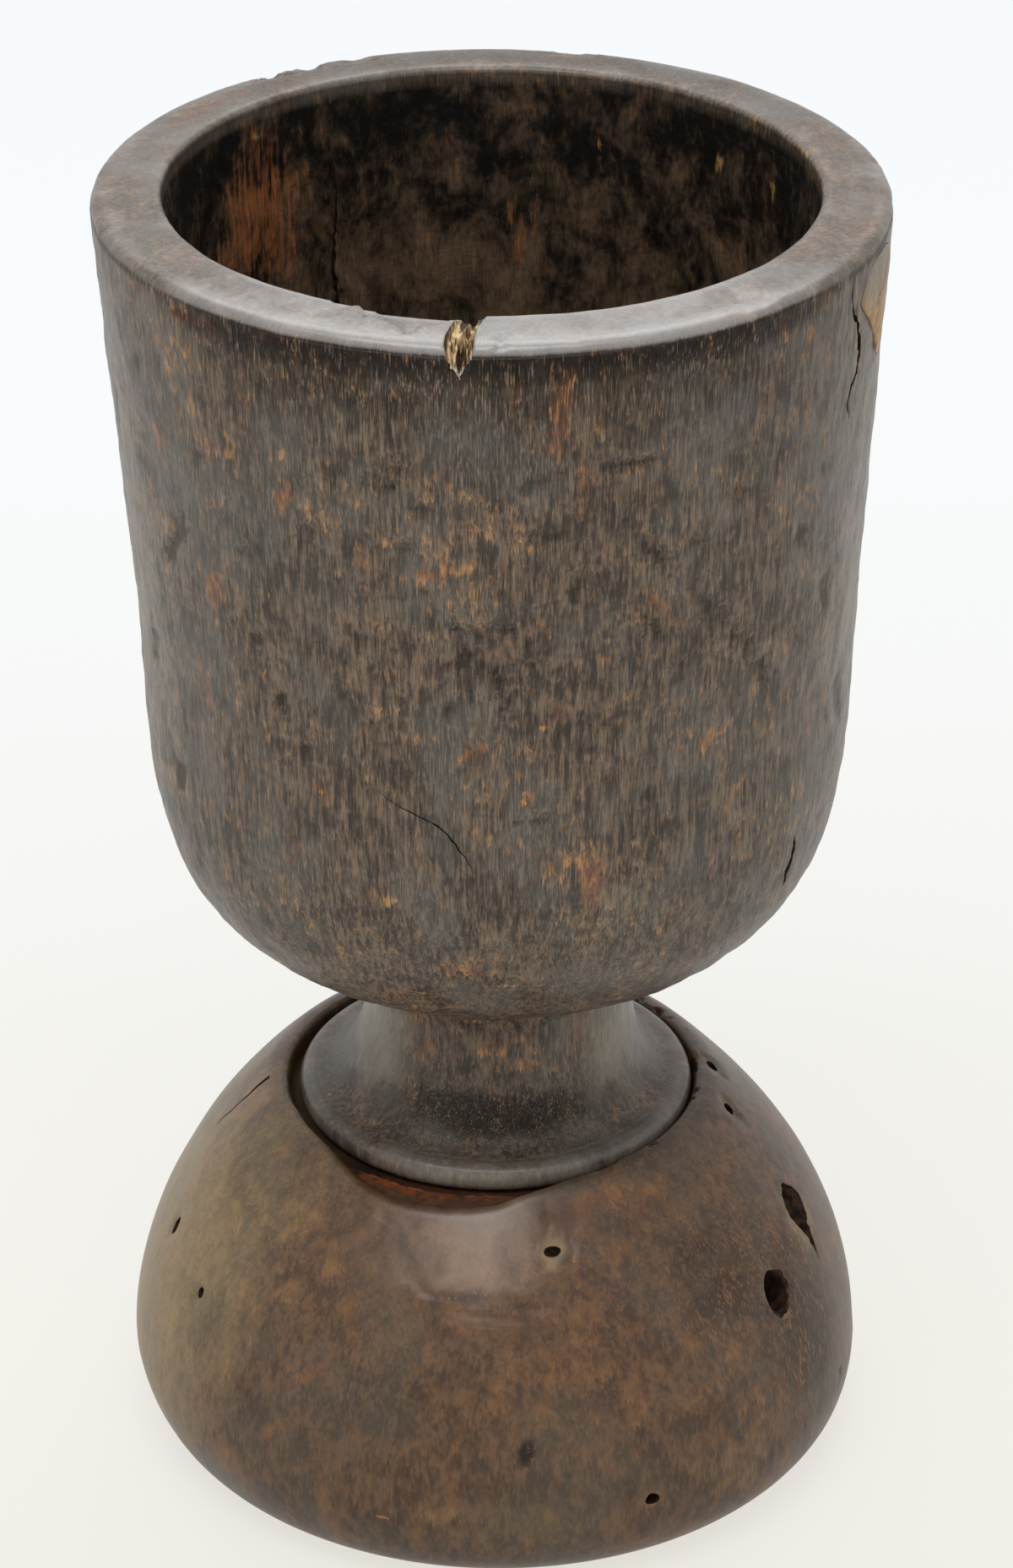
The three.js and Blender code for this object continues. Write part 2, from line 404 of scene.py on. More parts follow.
coveSteps = 18
collarRadius = bowlShape["collarRadius"]
collarUnder = lipHeight - footShape["grooveDepth"] + bowlShape["seatGap"]
collarTop = collarUnder + bowlShape["collarThickness"]
waistLow = collarTop + bowlShape["coveHeight"]
undersideHeight = waistLow + bowlShape["waistStraight"] + bowlShape["undersideCove"]
bellyTop = undersideHeight + bowlShape["bellyHeight"]
bellyRadius = rimRadius - bowlShape["wallFlare"]
mouthRadius = rimRadius - bowlShape["rimThickness"]
hollowFloor = rimTop - bowlShape["hollowDepth"]
grooveRadius = collarRadius + footShape["grooveWidth"]
lipRadius = grooveRadius + footShape["lipWidth"]


def bowlOutline():
    s = bowlShape
    bottom, chamfer, coveTop = s["spigotRadius"], s["spigotChamfer"], s["collarTopRadius"]
    halfThick = s["collarThickness"] / 2
    outline = traced((0, spigotFoot), [
        (8, (bottom - chamfer, spigotFoot)),
        (8, (bottom, spigotFoot + chamfer)),
        (8, (bottom, collarUnder)),
        (3, (collarRadius - halfThick, collarUnder)),
        (0.8, (collarRadius, collarUnder), (collarRadius, collarUnder + halfThick)),
        (0.8, (collarRadius, collarTop), (coveTop, collarTop)),
    ])
    for step in range(1, coveSteps + 1):
        turn = math.pi / 2 * step / coveSteps
        outline.append((coveTop - (coveTop - s["waistRadius"]) * math.sin(turn),
                        waistLow - s["coveHeight"] * math.cos(turn)))
    crownLow = rimTop - s["rimCrown"]
    crownEnd = rimRadius - s["rimRound"]
    crownStart = crownEnd - s["crownWidth"]
    hollowRadius = bellyRadius - s["wallThickness"]
    return outline[:-1] + traced(outline[-1], [
        (1, (s["waistRadius"], waistLow + s["waistStraight"])),
        (1.1, (s["waistRadius"], undersideHeight - s["undersideCove"] / 3),
         (s["undersideRadius"], undersideHeight)),
        (1.5, (bellyRadius, undersideHeight + s["bellyTurnRise"]),
         (bellyRadius - s["bellySideInset"], bellyTop - s["bellySideDrop"]), (bellyRadius, bellyTop)),
        (1.5, (rimRadius, rimTop - s["rimRound"])),
        (0.45, (rimRadius, crownLow), (crownEnd, crownLow)),
        (0.9, ((crownStart + crownEnd) / 2, rimTop), (crownStart, rimTop)),
        (0.9, (mouthRadius + s["mouthRound"], rimTop)),
        (0.5, (mouthRadius, rimTop), (mouthRadius, rimTop - s["mouthRound"])),
        (2.1, (hollowRadius, hollowFloor + s["hollowTurnHeight"])),
        (4, (hollowRadius, hollowFloor + s["hollowTurnRise"]), (s["hollowFloorRadius"], hollowFloor),
         (0, hollowFloor)),
    ])


def footOutline():
    s = footShape
    turnIn = s["lipRound"]
    seat = lipHeight - s["grooveDepth"]
    return traced((0, 0), [
        (6, (footRadius - s["soleInset"], 0)),
        (1.1, (footRadius - s["soleTurnInset"], s["soleTurnHeight"]), (footRadius, s["widestHeight"])),
        (0.8, (footRadius, s["widestHeight"] + s["sideHeight"]),
         (lipRadius + s["shoulderWidth"], lipHeight - s["shoulderDrop"]),
         (lipRadius + turnIn * 0.7, lipHeight - turnIn * 0.55)),
        (0.5, (lipRadius, lipHeight), (lipRadius - turnIn * 0.5, lipHeight)),
        (0.5, (grooveRadius, lipHeight), (grooveRadius, lipHeight - turnIn)),
        (0.7, (grooveRadius - s["lipDrop"], seat)),
        (3, (s["socketRadius"], seat)),
        (9, (s["socketRadius"], s["socketFloor"])),
        (6, (0, s["socketFloor"])),
    ])


bowlLine, footLine = bowlOutline(), footOutline()


# Turns an outline into a block with one closed skin whose faces point outwards.
def turnBlock(name, outline, shape, wood):
    drift = np.array(shape["drift"], float)
    chain = bpy.data.meshes.new(name)
    corners = [(r * mm, np.interp(z, drift[:, 0], drift[:, 1]) * mm, z * mm) for r, z in outline]
    chain.from_pydata(corners, [(i, i + 1) for i in range(len(corners) - 1)], [])
    block = newObject(name, chain)
    applyTree(block, turningTree, {
        "around": shape["around"], "closeness": shape["frontCloseness"], "oval": shape["oval"],
        "ovalTurn": math.radians(shape["ovalTurn"]), "wood": wood,
    })
    pointOutwards(block.data)
    return block


def pointOutwards(mesh):
    shell = bmesh.new()
    shell.from_mesh(mesh)
    if shell.calc_volume(signed=True) < 0:
        bmesh.ops.reverse_faces(shell, faces=shell.faces)
    shell.to_mesh(mesh)
    shell.free()


# Radius and backward lean, in radians, of an outline's outside at a height.
def outsideAt(outline, height):
    for (lowRadius, low), (highRadius, high) in itertools.pairwise(outline):
        if low <= height < high:
            part = (height - low) / (high - low)
            lean = math.atan2(lowRadius - highRadius, high - low)
            return lowRadius + part * (highRadius - lowRadius), lean
    raise ValueError(f"nothing of the outline is {height} mm up")


onRim = 1.5
farOff = 99


# How far each point lies from a mark's middle, counted in the mark's own half sizes. A mark is
# (azimuth, height, length, width, lean, strength): upright at no lean, leaning right at the top
# above it. One on the flat of the rim has a seventh value, its radius, and its length goes outwards.
def spanFrom(around, mark):
    azimuth, radius, height = around
    markAzimuth, markHeight, length, width, lean = mark[:5]
    east = np.radians((azimuth - markAzimuth + 180) % 360 - 180) * radius
    up = height - markHeight
    if len(mark) > 6:
        up = np.where(np.abs(up) < onRim, radius - mark[6], farOff)
    c, s = math.cos(math.radians(lean)), math.sin(math.radians(lean))
    return np.hypot((east * c - up * s) / (width / 2), (east * s + up * c) / (length / 2))


# The depth of a list of marks, whose sixth value is depth, with ragged edges.
def depthOf(around, marks, ragged):
    depth = np.zeros(len(ragged))
    for mark in marks:
        span = spanFrom(around, mark) * (1 + 0.9 * np.maximum(ragged, -0.5))
        depth += mark[5] * (1 - stepUp(span, 0.25, 1.0))
    return depth


# The strength of a list of dabs of colour, whose sixth value is strength. Those in front are on
# the outside alone.
def dabsOf(around, dabs, ragged):
    strength = np.zeros(len(ragged))
    hollow = hollowSide(*around[1:])
    for dab in dabs:
        span = spanFrom(around, dab) * (1 + 0.3 * ragged)
        span = np.where(hollow & (abs(dab[0]) < 90), farOff, span)
        strength = np.maximum(strength, dab[5] * (1 - stepUp(span, 0.2, 1.0)))
    return strength


def setValues(mesh, name, values):
    kind = "FLOAT_COLOR" if values.ndim == 2 else "FLOAT"
    layer = mesh.attributes.new(name, kind, "POINT")
    if kind == "FLOAT":
        layer.data.foreach_set("value", values)
    else:
        layer.data.foreach_set("color", np.column_stack([values, np.ones(len(values))]).reshape(-1))


# Pushes points along their normals by so many millimetres.
def pushOut(mesh, amount):
    movePoints(mesh, pointsOf(mesh) + normalsOf(mesh) * amount[:, None] * mm)


# An object of one finish from closed tubes. Each tube is a list of rings, and each ring a list of
# as many points. A cutter is split up into triangles.
def tubeObject(name, tubes, finish, cutter=True):
    shell = bmesh.new()
    for rings in tubes:
        layers = [[shell.verts.new(spot) for spot in ring] for ring in rings]
        for lower, upper in itertools.pairwise(layers):
            for i in range(len(lower)):
                j = (i + 1) % len(lower)
                shell.faces.new((lower[i], lower[j], upper[j], upper[i]))
        shell.faces.new(layers[0][::-1])
        shell.faces.new(layers[-1])
    bmesh.ops.recalc_face_normals(shell, faces=shell.faces)
    if cutter:
        bmesh.ops.triangulate(shell, faces=shell.faces)
    mesh = bpy.data.meshes.new(name)
    shell.to_mesh(mesh)
    shell.free()
    mesh.materials.append(finish)
    return newObject(name, mesh)


fewestFaces = 1000


# Cuts a block with cutters, and leaves the cut faces in the cutters' own finish.
def cutAway(block, cutters):
    for cutter in cutters:
        cut = block.modifiers.new(cutter.name, "BOOLEAN")
        cut.operation = "DIFFERENCE"
        cut.solver = "EXACT"
        cut.material_mode = "TRANSFER"
        cut.object = cutter
    bakeModifiers(block)
    if len(block.data.polygons) < fewestFaces:
        raise RuntimeError(f"the cut left nothing of {block.name}")
    for cutter in cutters:
        bpy.data.objects.remove(cutter)


# Straight out from the axis at an azimuth.
def outwardAt(azimuth):
    turn = math.radians(azimuth)
    return Vector((math.sin(turn), -math.cos(turn), 0))


# A point at an azimuth, radius and height, in metres.
def spotAt(azimuth, radius, height):
    return (outwardAt(azimuth) * radius + Vector((0, 0, height))) * mm


# Worm holes bored square to the surface: irregular, flared at the mouth and tapering inside. The
# rings of each are (how far in, share of the radius).
def boreCutter(name, outline, holes, finish, seed, sides=22):
    draw = np.random.default_rng(seed)
    tubes = []
    for azimuth, height, radius, depth, tall in holes:
        surface, lean = outsideAt(outline, height)
        inward = outwardAt(azimuth) * -math.cos(lean) + Vector((0, 0, -math.sin(lean)))
        middle = spotAt(azimuth, surface, height)
        side = inward.cross(Vector((0, 0, 1))).normalized()
        up = side.cross(inward)
        lobes = draw.uniform(0, math.tau, 3)
        rings = []
        for reach, width in ((-1.2, 1.7), (-0.1, 1.3), (0.4, 1.04), (depth * 0.5, 0.92), (depth, 0.5)):
            wander = draw.uniform(-0.1, 0.1, 2) * radius
            ring = []
            for k in range(sides):
                turn = math.tau * k / sides
                wave = sum(math.cos((n + 2) * turn + lobe) / (n + 2) for n, lobe in enumerate(lobes))
                out = radius * width * (1 + 0.05 * wave)
                east, north = out * math.cos(turn) + wander[0], out * math.sin(turn) * tall + wander[1]
                ring.append(middle + (inward * reach + side * east + up * north) * mm)
            rings.append(ring)
        tubes.append(rings)
    return tubeObject(name, tubes, finish)


crackStep = 1.1
wideCrack = 2
crackMouth, crackFoot = 0.8, 0.08
seamStart = 0.8


# Breaks a crack's path up into short steps that wander and change in width, less where it is wide.
def frayed(path, draw):
    steps = []
    for start, end in itertools.pairwise(np.array(path)):
        count = max(1, round(math.dist(start[:2], end[:2]) / crackStep))
        for k in range(count):
            step = start + (end - start) * k / count
            calm = 0.25 if step[2] > wideCrack else 1
            if k:
                step[:2] += draw.uniform(-0.24, 0.24, 2) * calm
                step[2] *= 1 + draw.uniform(-0.55, 0.3) * calm
            steps.append(step)
    return [*steps, np.array(path[-1])]


# An open crack along a list of (azimuth, height, width) points, wedge-shaped to a sharp bottom.
def crackCutter(name, outline, cracks, finish, inside=False):
    draw = np.random.default_rng(len(cracks))
    tubes = []
    for path, depth in cracks:
        path = frayed(path, draw)
        spots = []
        for azimuth, height, width in path:
            surface = mouthRadius - seamStart if inside else outsideAt(outline, height)[0]
            spots.append(spotAt(azimuth, surface, height))
        widest = max(step[2] for step in path)
        rings = []
        for i, (azimuth, height, width) in enumerate(path):
            outward = outwardAt(azimuth) * (-1 if inside else 1)
            along = spots[min(i + 1, len(spots) - 1)] - spots[max(i - 1, 0)]
            side = along.cross(outward).normalized()
            deep = depth * (width / widest) ** 0.5
            section = ((crackMouth, 1.0), (-crackMouth, 1.0), (-crackFoot, -deep), (crackFoot, -deep))
            rings.append([spots[i] + (side * (width * east) + outward * up) * mm
                          for east, up in section])
        tubes.append(rings)
    return tubeObject(name, tubes, finish)


# What age did to the bowl. Marks are (azimuth, height, length, width, lean, depth), holes are
# (azimuth, height, radius, depth, tall) and cracks are ([(azimuth, height, width), ...], depth).
# What frays the marks' edges is given as two sizes of lumps and a seed.
bowlAge = {
    "dents": [
        (-0.5, 167, 16, 17, 0, 0.7), (-5.1, 166.5, 4, 3.5, 20, 0.7), (0.8, 161.8, 4, 5, 60, 0.9),
        (1.2, 157.6, 2.6, 2.6, 0, 0.6), (-6.9, 156.5, 3, 3, 0, 0.5), (-39, 162.4, 6, 4, 25, 0.7),
        (-34.2, 153.6, 6, 4, -10, 0.7), (-56, 173.5, 14, 4, 35, 0.6), (22.6, 183, 13, 4, -40, 0.5),
        (33, 170, 24, 5, -38, 0.6), (44, 156, 10, 5, -30, 0.5), (-16.7, 194.4, 2.2, 6, 0, 0.45),
        (5.5, 194.5, 2.2, 5.5, 0, 0.45), (20, 196.8, 1.4, 15, -4, 0.35), (36.5, 188.3, 1.8, 9, 10, 0.4),
        (52, 176, 9, 6, -30, 0.45), (60, 163, 12, 5, -20, 0.45), (29, 160, 8, 4, 30, 0.35),
        (-28, 182, 9, 5, 20, 0.3), (12, 178, 10, 5, 15, 0.3), (-12, 183, 8, 4, -20, 0.25),
        (-70, 150, 12, 6, 20, 0.4), (-62, 130, 9, 5, 0, 0.35), (70, 140, 14, 6, -15, 0.4),
        (40, 128, 8, 5, 20, 0.35), (-44, 122, 7, 5, 10, 0.3), (-3, 149, 6, 5, 0, 0.25),
        (6.6, 138.4, 2.2, 8, -12, 0.5), (-14, 197, 2, 5, 30, 0.4), (-1, 172.5, 1.3, 11, 0, -0.35),
        (-7, 174.8, 1.2, 9, -6, -0.3), (20.5, 171, 9, 1.5, -40, -0.4), (22.6, 170.5, 9, 1.5, -40, 0.5),
        (-20, 168, 3, 6, 20, 0.35), (-24, 158, 5, 3, 0, 0.3), (14, 150, 3, 6, -20, 0.35),
        (24, 140, 5, 4, 30, 0.35), (-10, 190, 3, 7, 10, 0.3), (30, 182, 2.5, 8, 12, 0.35),
        (8, 186, 3, 6, -10, 0.3), (-30, 147, 5, 3, 0, 0.3), (-48, 190, 8, 3, 30, 0.35),
        (110, 190, 16, 7, 20, 0.5), (150, 160, 20, 6, -30, 0.5), (-150, 185, 14, 7, 15, 0.5),
        (-120, 150, 18, 6, 30, 0.5), (178, 125, 12, 8, 0, 0.4), (95, 120, 9, 6, 0, 0.4),
    ],
    "cracks": [
        ([(-18.4, 142.4, 0.1), (-14.1, 139.8, 0.36), (-10.8, 138.6, 0.3), (-8.9, 137.6, 0.5),
          (-6, 134.6, 0.4), (-3.6, 130.6, 0.2), (-3.2, 129.4, 0.08)], 0.7),
        ([(57.2, 122, 0.2), (57.6, 119, 0.8), (56.8, 116, 0.9), (57.0, 112.6, 0.2)], 2.2),
        ([(61.0, 214.2, 0.25), (60.7, 212.2, 0.3), (61.0, 210.4, 0.35), (62.2, 207.6, 0.6),
          (64.2, 205.3, 0.9), (65.3, 202.6, 1.3), (66.0, 199.6, 1.2), (65.5, 197.2, 1.0),
          (63.4, 196, 0.7), (62.9, 193, 0.5), (64.1, 190.4, 0.15)], 2.6),
    ],
    "seams": [
        ([(-148.4, 216.2, 0.7), (-147.8, 207, 1.0), (-149.2, 198, 0.7), (-148.1, 187, 1.0),
          (-149.4, 172, 0.7), (-148.3, 157, 0.6), (-149, 140, 0.2)], 0.9),
    ],
    "rimWear": [
        (-143.5, 217.2, 5, 5, 0, 0.9), (-150, 217.2, 5, 7, 0, 0.7), (-158, 217.2, 4, 6, 0, 0.4),
        (0.8, 217.2, 3, 1.6, 0, 0.5), (40, 217.2, 3, 8, 0, 0.25),
        (100, 217.2, 3, 7, 0, 0.3), (168, 217.2, 3, 8, 0, 0.3), (-95, 217.2, 3, 7, 0, 0.25),
    ],
    "brokenMouth": [(-13, 5.6, 7, 0.9), (-19, 3.6, 4, 0.6), (-8, 3.0, 5, 0.7), (-25, 2.4, 3, 0.3)],
    "weather": {"dentSize": 20.0, "dentDepth": 0.8, "hackSize": 5.0, "hackDepth": 0.8,
                "fibreWidth": 1.3, "fibreLength": 13.0, "fibreDepth": 0.13,
                "pitsPerSquareMetre": 150.0, "pitRadius": 0.9, "pitDepth": 0.06, "pitStretch": 2.2,
                "seed": 11},
    "ragged": (1.7, 0.7, 1),
}

footAge = {
    "dents": [
        (12.8, 54, 5, 7, 0, 0.35), (14.5, 56.5, 3, 6, 30, 0.3), (9, 55, 2.4, 3, 0, 0.25),
        (5, 26.4, 5, 4, 0, 0.35), (-13, 47.6, 1.6, 8, -8, -0.16), (-4, 46.3, 1.5, 9, -4, -0.2),
        (8, 45.2, 1.6, 6, 2, -0.2), (-8, 48.9, 2.4, 14, -8, 0.2), (5, 47.4, 2.2, 9, 0, 0.2),
        (-1, 44.2, 1.5, 7, 4, -0.15), (11, 43.4, 1.4, 5, 0, -0.15), (-9, 42.6, 1.6, 8, 0, 0.15),
        (4, 41.4, 1.6, 6, 10, 0.3), (-16, 50, 3, 8, 20, 0.25), (57.4, 37.1, 11, 9, 0, 0.5),
        (74.5, 42, 8, 6, 0, 0.4), (81.5, 58, 5, 4, 0, 0.4), (24.7, 14.8, 4, 4, 0, 0.35),
        (95.5, 60.4, 4, 6, 0, 0.5), (-78.6, 37.9, 7, 4, 0, 0.35), (-60.8, 35.5, 4, 4, 0, 0.3),
        (26.2, 12, 3, 2, 30, 0.5), (14, 43, 2, 2, 0, 0.25), (-47, 32, 10, 3, 40, 0.2),
        (-30, 40, 14, 3, 50, 0.2), (35, 30, 12, 3, -40, 0.2), (48.5, 51.4, 2, 2, 0, 0.4),
        (130, 35, 14, 8, 20, 0.4), (-130, 25, 12, 9, 0, 0.4), (175, 45, 10, 8, 0, 0.35),
    ],
    "holes": [
        (57.4, 37.1, 2.7, 9, 1.3), (81.5, 58.0, 1.0, 5, 1.1), (12.4, 53.8, 1.35, 1.3, 0.6),
        (24.7, 14.8, 1.0, 3, 0.9), (-78.6, 37.9, 0.7, 1.4, 2.2), (-60.8, 35.5, 0.7, 1.2, 1.2),
        (95.5, 60.6, 1.1, 4, 1.0),
    ],
    "holeSeed": 7,
    "cracks": [
        ([(-88.4, 60.6, 0.6), (-88, 57.4, 0.35), (-88.6, 54, 0.3), (-89.8, 51, 0.1)], 1.2),
        ([(76.2, 46.6, 1.5), (75.8, 45.4, 4.4), (75.4, 44, 5.8), (75.2, 42.6, 5.6), (75, 41.2, 4.4),
          (74.8, 39.6, 2.8), (74.6, 38, 1.6), (74.3, 36.4, 0.8), (74, 34.6, 0.15)], 3.0),
    ],
    "recess": [(-86, 0.0), (-66, 0.2), (-52, 0.9), (-43, 2.6), (-35, 4.5), (-26, 5.7), (-18.3, 6.0),
               (-11.5, 5.8), (-5.7, 5.3), (0, 4.4), (5.1, 3.2), (11, 1.9), (20, 0.6), (34, 0.0)],
    "weather": {"dentSize": 26.0, "dentDepth": 0.55, "hackSize": 8.0, "hackDepth": 0.12,
                "fibreWidth": 2.2, "fibreLength": 12.0, "fibreDepth": 0.04,
                "pitsPerSquareMetre": 500.0, "pitRadius": 0.8, "pitDepth": 0.3, "pitStretch": 1.6,
                "seed": 23},
    "ragged": (2.1, 0.8, 3),
}


# 1 for points on the hollow's side of the bowl's wall: well inside the outline that rises to the
# rim, and above the bottom.
def hollowSide(radius, height):
    belowRim, withinWall, bottomThick = 5, 4.5, 4
    rising = list(itertools.takewhile(lambda spot: spot[1] < rimTop - belowRim, bowlLine))
    radii, heights = np.array(rising).T
    within = radius < np.interp(height, heights, radii) - withinWall
    return within & (height > hollowFloor - bottomThick)


# Turns a block, wears it by its own function and then by the weather tree. Gives the block, its
# points and how far each of them sank.
def agedBlock(name, outline, shape, age, wood, wear):
    block = turnBlock(name, outline, shape, wood)
    mesh = block.data
    turned, normals = pointsOf(mesh), normalsOf(mesh)
    setValues(mesh, "sound", wear(mesh, aroundOf(turned), raggedness(turned, *age["ragged"])))
    applyTree(block, weatherTree, {**age["weather"], "wood": wood})
    return block, pointsOf(block.data), sunkness(block.data, turned, normals)


# Dents the bowl and breaks its mouth. Gives how far the surface is open to the weather, from 0 to 1.
def wearBowl(mesh, around, ragged):
    azimuth, radius, height = around
    depth = depthOf(around, bowlAge["dents"], ragged) * ~hollowSide(radius, height)
    depth += depthOf(around, bowlAge["rimWear"], ragged * 1.4) * (radius > rimRadius - 4)
    pushOut(mesh, -depth)
    points = pointsOf(mesh)

    # The front of the mouth's inner edge is broken away: steps down from the flat of the rim.
    lost = np.zeros(len(points))
    for middle, width, halfAngle, fall in bowlAge["brokenMouth"]:
        across = np.abs(azimuth - middle) / halfAngle
        reach = width * np.clip(1 - across**2, 0, 1) * (1 + 0.5 * ragged)
        lost = np.maximum(lost, fall * (radius < mouthRadius + reach) * (reach > 0.3))
    points[:, 2] -= lost * (height > rimTop - 2.5) * stepUp(height, rimTop - 2.5, rimTop) * mm
    movePoints(mesh, points)
    sound = np.where(height < collarUnder + 0.1, 0.0, 1.0)
    sound *= np.where(hollowSide(radius, height) & (height < rimTop - 2), 0.45, 1)
    sound *= 1 - 0.65 * stepUp(height, rimTop - 3.5, rimTop - 0.5)
    sound *= 1 - 0.5 * (1 - stepUp(height, undersideHeight - 8, undersideHeight + 6))
    sound *= 1 - 0.8 * (1 - stepUp(height, collarTop + 0.5, collarTop + 4))
    return sound


# A crescent of the foot's lip is worn away in front, level with the groove: how far out it goes.
def wornReach(azimuth):
    recess = np.array(footAge["recess"])
    return grooveRadius + np.interp(azimuth, recess[:, 0], recess[:, 1], left=0, right=0)


def wearFoot(mesh, around, ragged):
    azimuth, radius, height = around
    pushOut(mesh, -depthOf(around, footAge["dents"], ragged) * (height > 3))
    points = pointsOf(mesh)
    seat = lipHeight - footShape["grooveDepth"]
    reach = wornReach(azimuth) * (1 + 0.008 * ragged)
    worn = (height > seat - 0.5) & (reach > grooveRadius + 0.1)
    floor = seat + 0.5 + 0.3 * ragged
    share = (1 - stepUp(radius, reach - 2.4, reach + 1.6)) * worn
    points[:, 2] -= np.clip(points[:, 2] / mm - floor, 0, None) * share * mm
    movePoints(mesh, points)
    return stepUp(height, 2, 6) * (radius > grooveRadius - 0.2)


# The chip in the front of the rim: a ragged groove from the mouth to the outside, deeper and
# wider outwards. Each cut is (radius, left, right, depth, deepest place from left to right).
chipShape = {
    "cuts": [(47.5, -5.0, -0.7, 2.5, 0.45), (49.8, -5.2, -1.0, 2.3, 0.45), (52, -5.5, -1.7, 2.2, 0.55),
             (54.5, -6.3, -2.5, 2.3, 0.55), (57, -7.0, -2.7, 3.3, 0.5), (59, -7.3, -2.8, 4.7, 0.5),
             (60.2, -7.3, -2.8, 5.9, 0.5), (62.5, -7.2, -2.8, 6.9, 0.5)],
    "teeth": 11, "ragged": 0.45, "seed": 5,
    "splintersPerSquareMetre": 900000.0, "splinterLength": 2.4, "splinterRadius": 0.2,
    "splinterSeed": 3,
}


# The chip's floor: for each cut, points from left to right as (x, -radius, height), in metres.
def chipFloor():
    s = chipShape
    draw = np.random.default_rng(s["seed"])
    comb = draw.uniform(-1, 1, s["teeth"])
    rows = []
    for radius, left, right, depth, deepest in s["cuts"]:
        row = []
        for k in range(s["teeth"]):
            part = k / (s["teeth"] - 1)
            fall = min(part / deepest, (1 - part) / (1 - deepest)) ** 0.6
            wave = s["ragged"] * (comb[k] + 0.5 * draw.uniform(-1, 1)) * (0.25 < fall)
            x = left + (right - left) * part
            low = rimTop - max(0.1, depth * fall + wave)
            row.append(Vector((x, -math.sqrt(radius**2 - x**2), low)) * mm)
        rows.append(row)
    return rows


def chipCutter(finish):
    lidHeight = (rimTop + 2) * mm
    rings = []
    for row in chipFloor():
        lid = [Vector((spot.x, spot.y, lidHeight)) for spot in (row[-1], row[0])]
        rings.append([*row, *lid])
    return tubeObject("chipCutter", [rings], finish)


# The tree that stands slender splinters on a patch, each with its own tilt and size.
def makeSplinterTree():
    numbers = {"density": 100.0, "length": 0.003, "radius": 0.0002, "seed": 1}
    bench, given = startTree("standSplinters", numbers)
    radius, seed = given.also("radius"), given.also("seed")
    spots = bench.node("GeometryNodeDistributePointsOnFaces", {"distribute_method": "RANDOM"},
                       {"Mesh": given, "Density": given.also("density"), "Seed": seed}, "Points")
    corners, rings, tipShare = 4, 2, 0.15
    sliver = bench.node("GeometryNodeMeshCone", {}, {
        "Vertices": corners, "Side Segments": rings, "Radius Top": radius * tipShare,
        "Radius Bottom": radius, "Depth": given.also("length"),
    }, "Mesh")

    def drawn(least, most, seed):
        return bench.node("FunctionNodeRandomValue", {"data_type": "FLOAT_VECTOR"},
                          {"Min": least, "Max": most, "Seed": seed}, "Value")

    tilt = drawn((0.0, -0.2, -1.5), (0.5, 0.2, 1.5), seed)
    size = drawn((0.5, 0.5, 0.35), (1.4, 1.4, 1.2), seed + 1)
    standing = bench.node("GeometryNodeInstanceOnPoints", {}, {
        "Points": spots, "Instance": sliver, "Rotation": tilt, "Scale": size})
    return endTree(bench, given, standing)


def rimSplinters(finish):
    s = chipShape
    patch = bmesh.new()
    rows = [[patch.verts.new(spot) for spot in row[2:-2]] for row in chipFloor()[4:-1]]
    for front, back in itertools.pairwise(rows):
        for (a, b), (c, d) in zip(itertools.pairwise(front), itertools.pairwise(back)):
            patch.faces.new((a, b, d, c))
    mesh = bpy.data.meshes.new("rimSplinters")
    patch.to_mesh(mesh)
    patch.free()
    splinters = newObject("rimSplinters", mesh)
    applyTree(splinters, makeSplinterTree(), {
        "density": s["splintersPerSquareMetre"], "length": s["splinterLength"] * mm,
        "radius": s["splinterRadius"] * mm, "seed": s["splinterSeed"], "wood": finish,
    })
    return splinters


# The filler plug lies in a socket of its own outline in the wall, flush with the outside.
fillerShape = {
    "outline": [(66.6, 213.6), (65.4, 211.4), (64.0, 208.6), (67.4, 205.6), (70.9, 202.2),
                (73.6, 199.2), (75.6, 195.6), (78.6, 195.8), (80.2, 201), (80.4, 207), (79.2, 212),
                (76, 213.8), (71, 214.2)],
    "gap": 0.14, "halfWidth": 7.5, "socketDepth": 2.2, "plugDepth": 1.9, "crown": 0.2, "perSide": 7,
    "evened": 3, "seed": 31,
}


def fillerEdge():
    s = fillerShape
    corners = np.array(s["outline"])
    edge = []
    for i in range(len(corners)):
        start, end = corners[i], corners[(i + 1) % len(corners)]
        edge += [tuple(start + (end - start) * k / s["perSide"]) for k in range(s["perSide"])]
    edge = np.array(edge)
    for _ in range(s["evened"]):
        edge = (np.roll(edge, 1, 0) + edge * 2 + np.roll(edge, -1, 0)) / 4
    return edge


def fillerCutter(outline, finish):
    edge = fillerEdge()
    rings = []
    for reach in (2.0, 0.0, -fillerShape["socketDepth"]):
        rings.append([spotAt(a, outsideAt(outline, z)[0] + reach, z) for a, z in edge])
    return tubeObject("fillerCutter", [rings], finish)


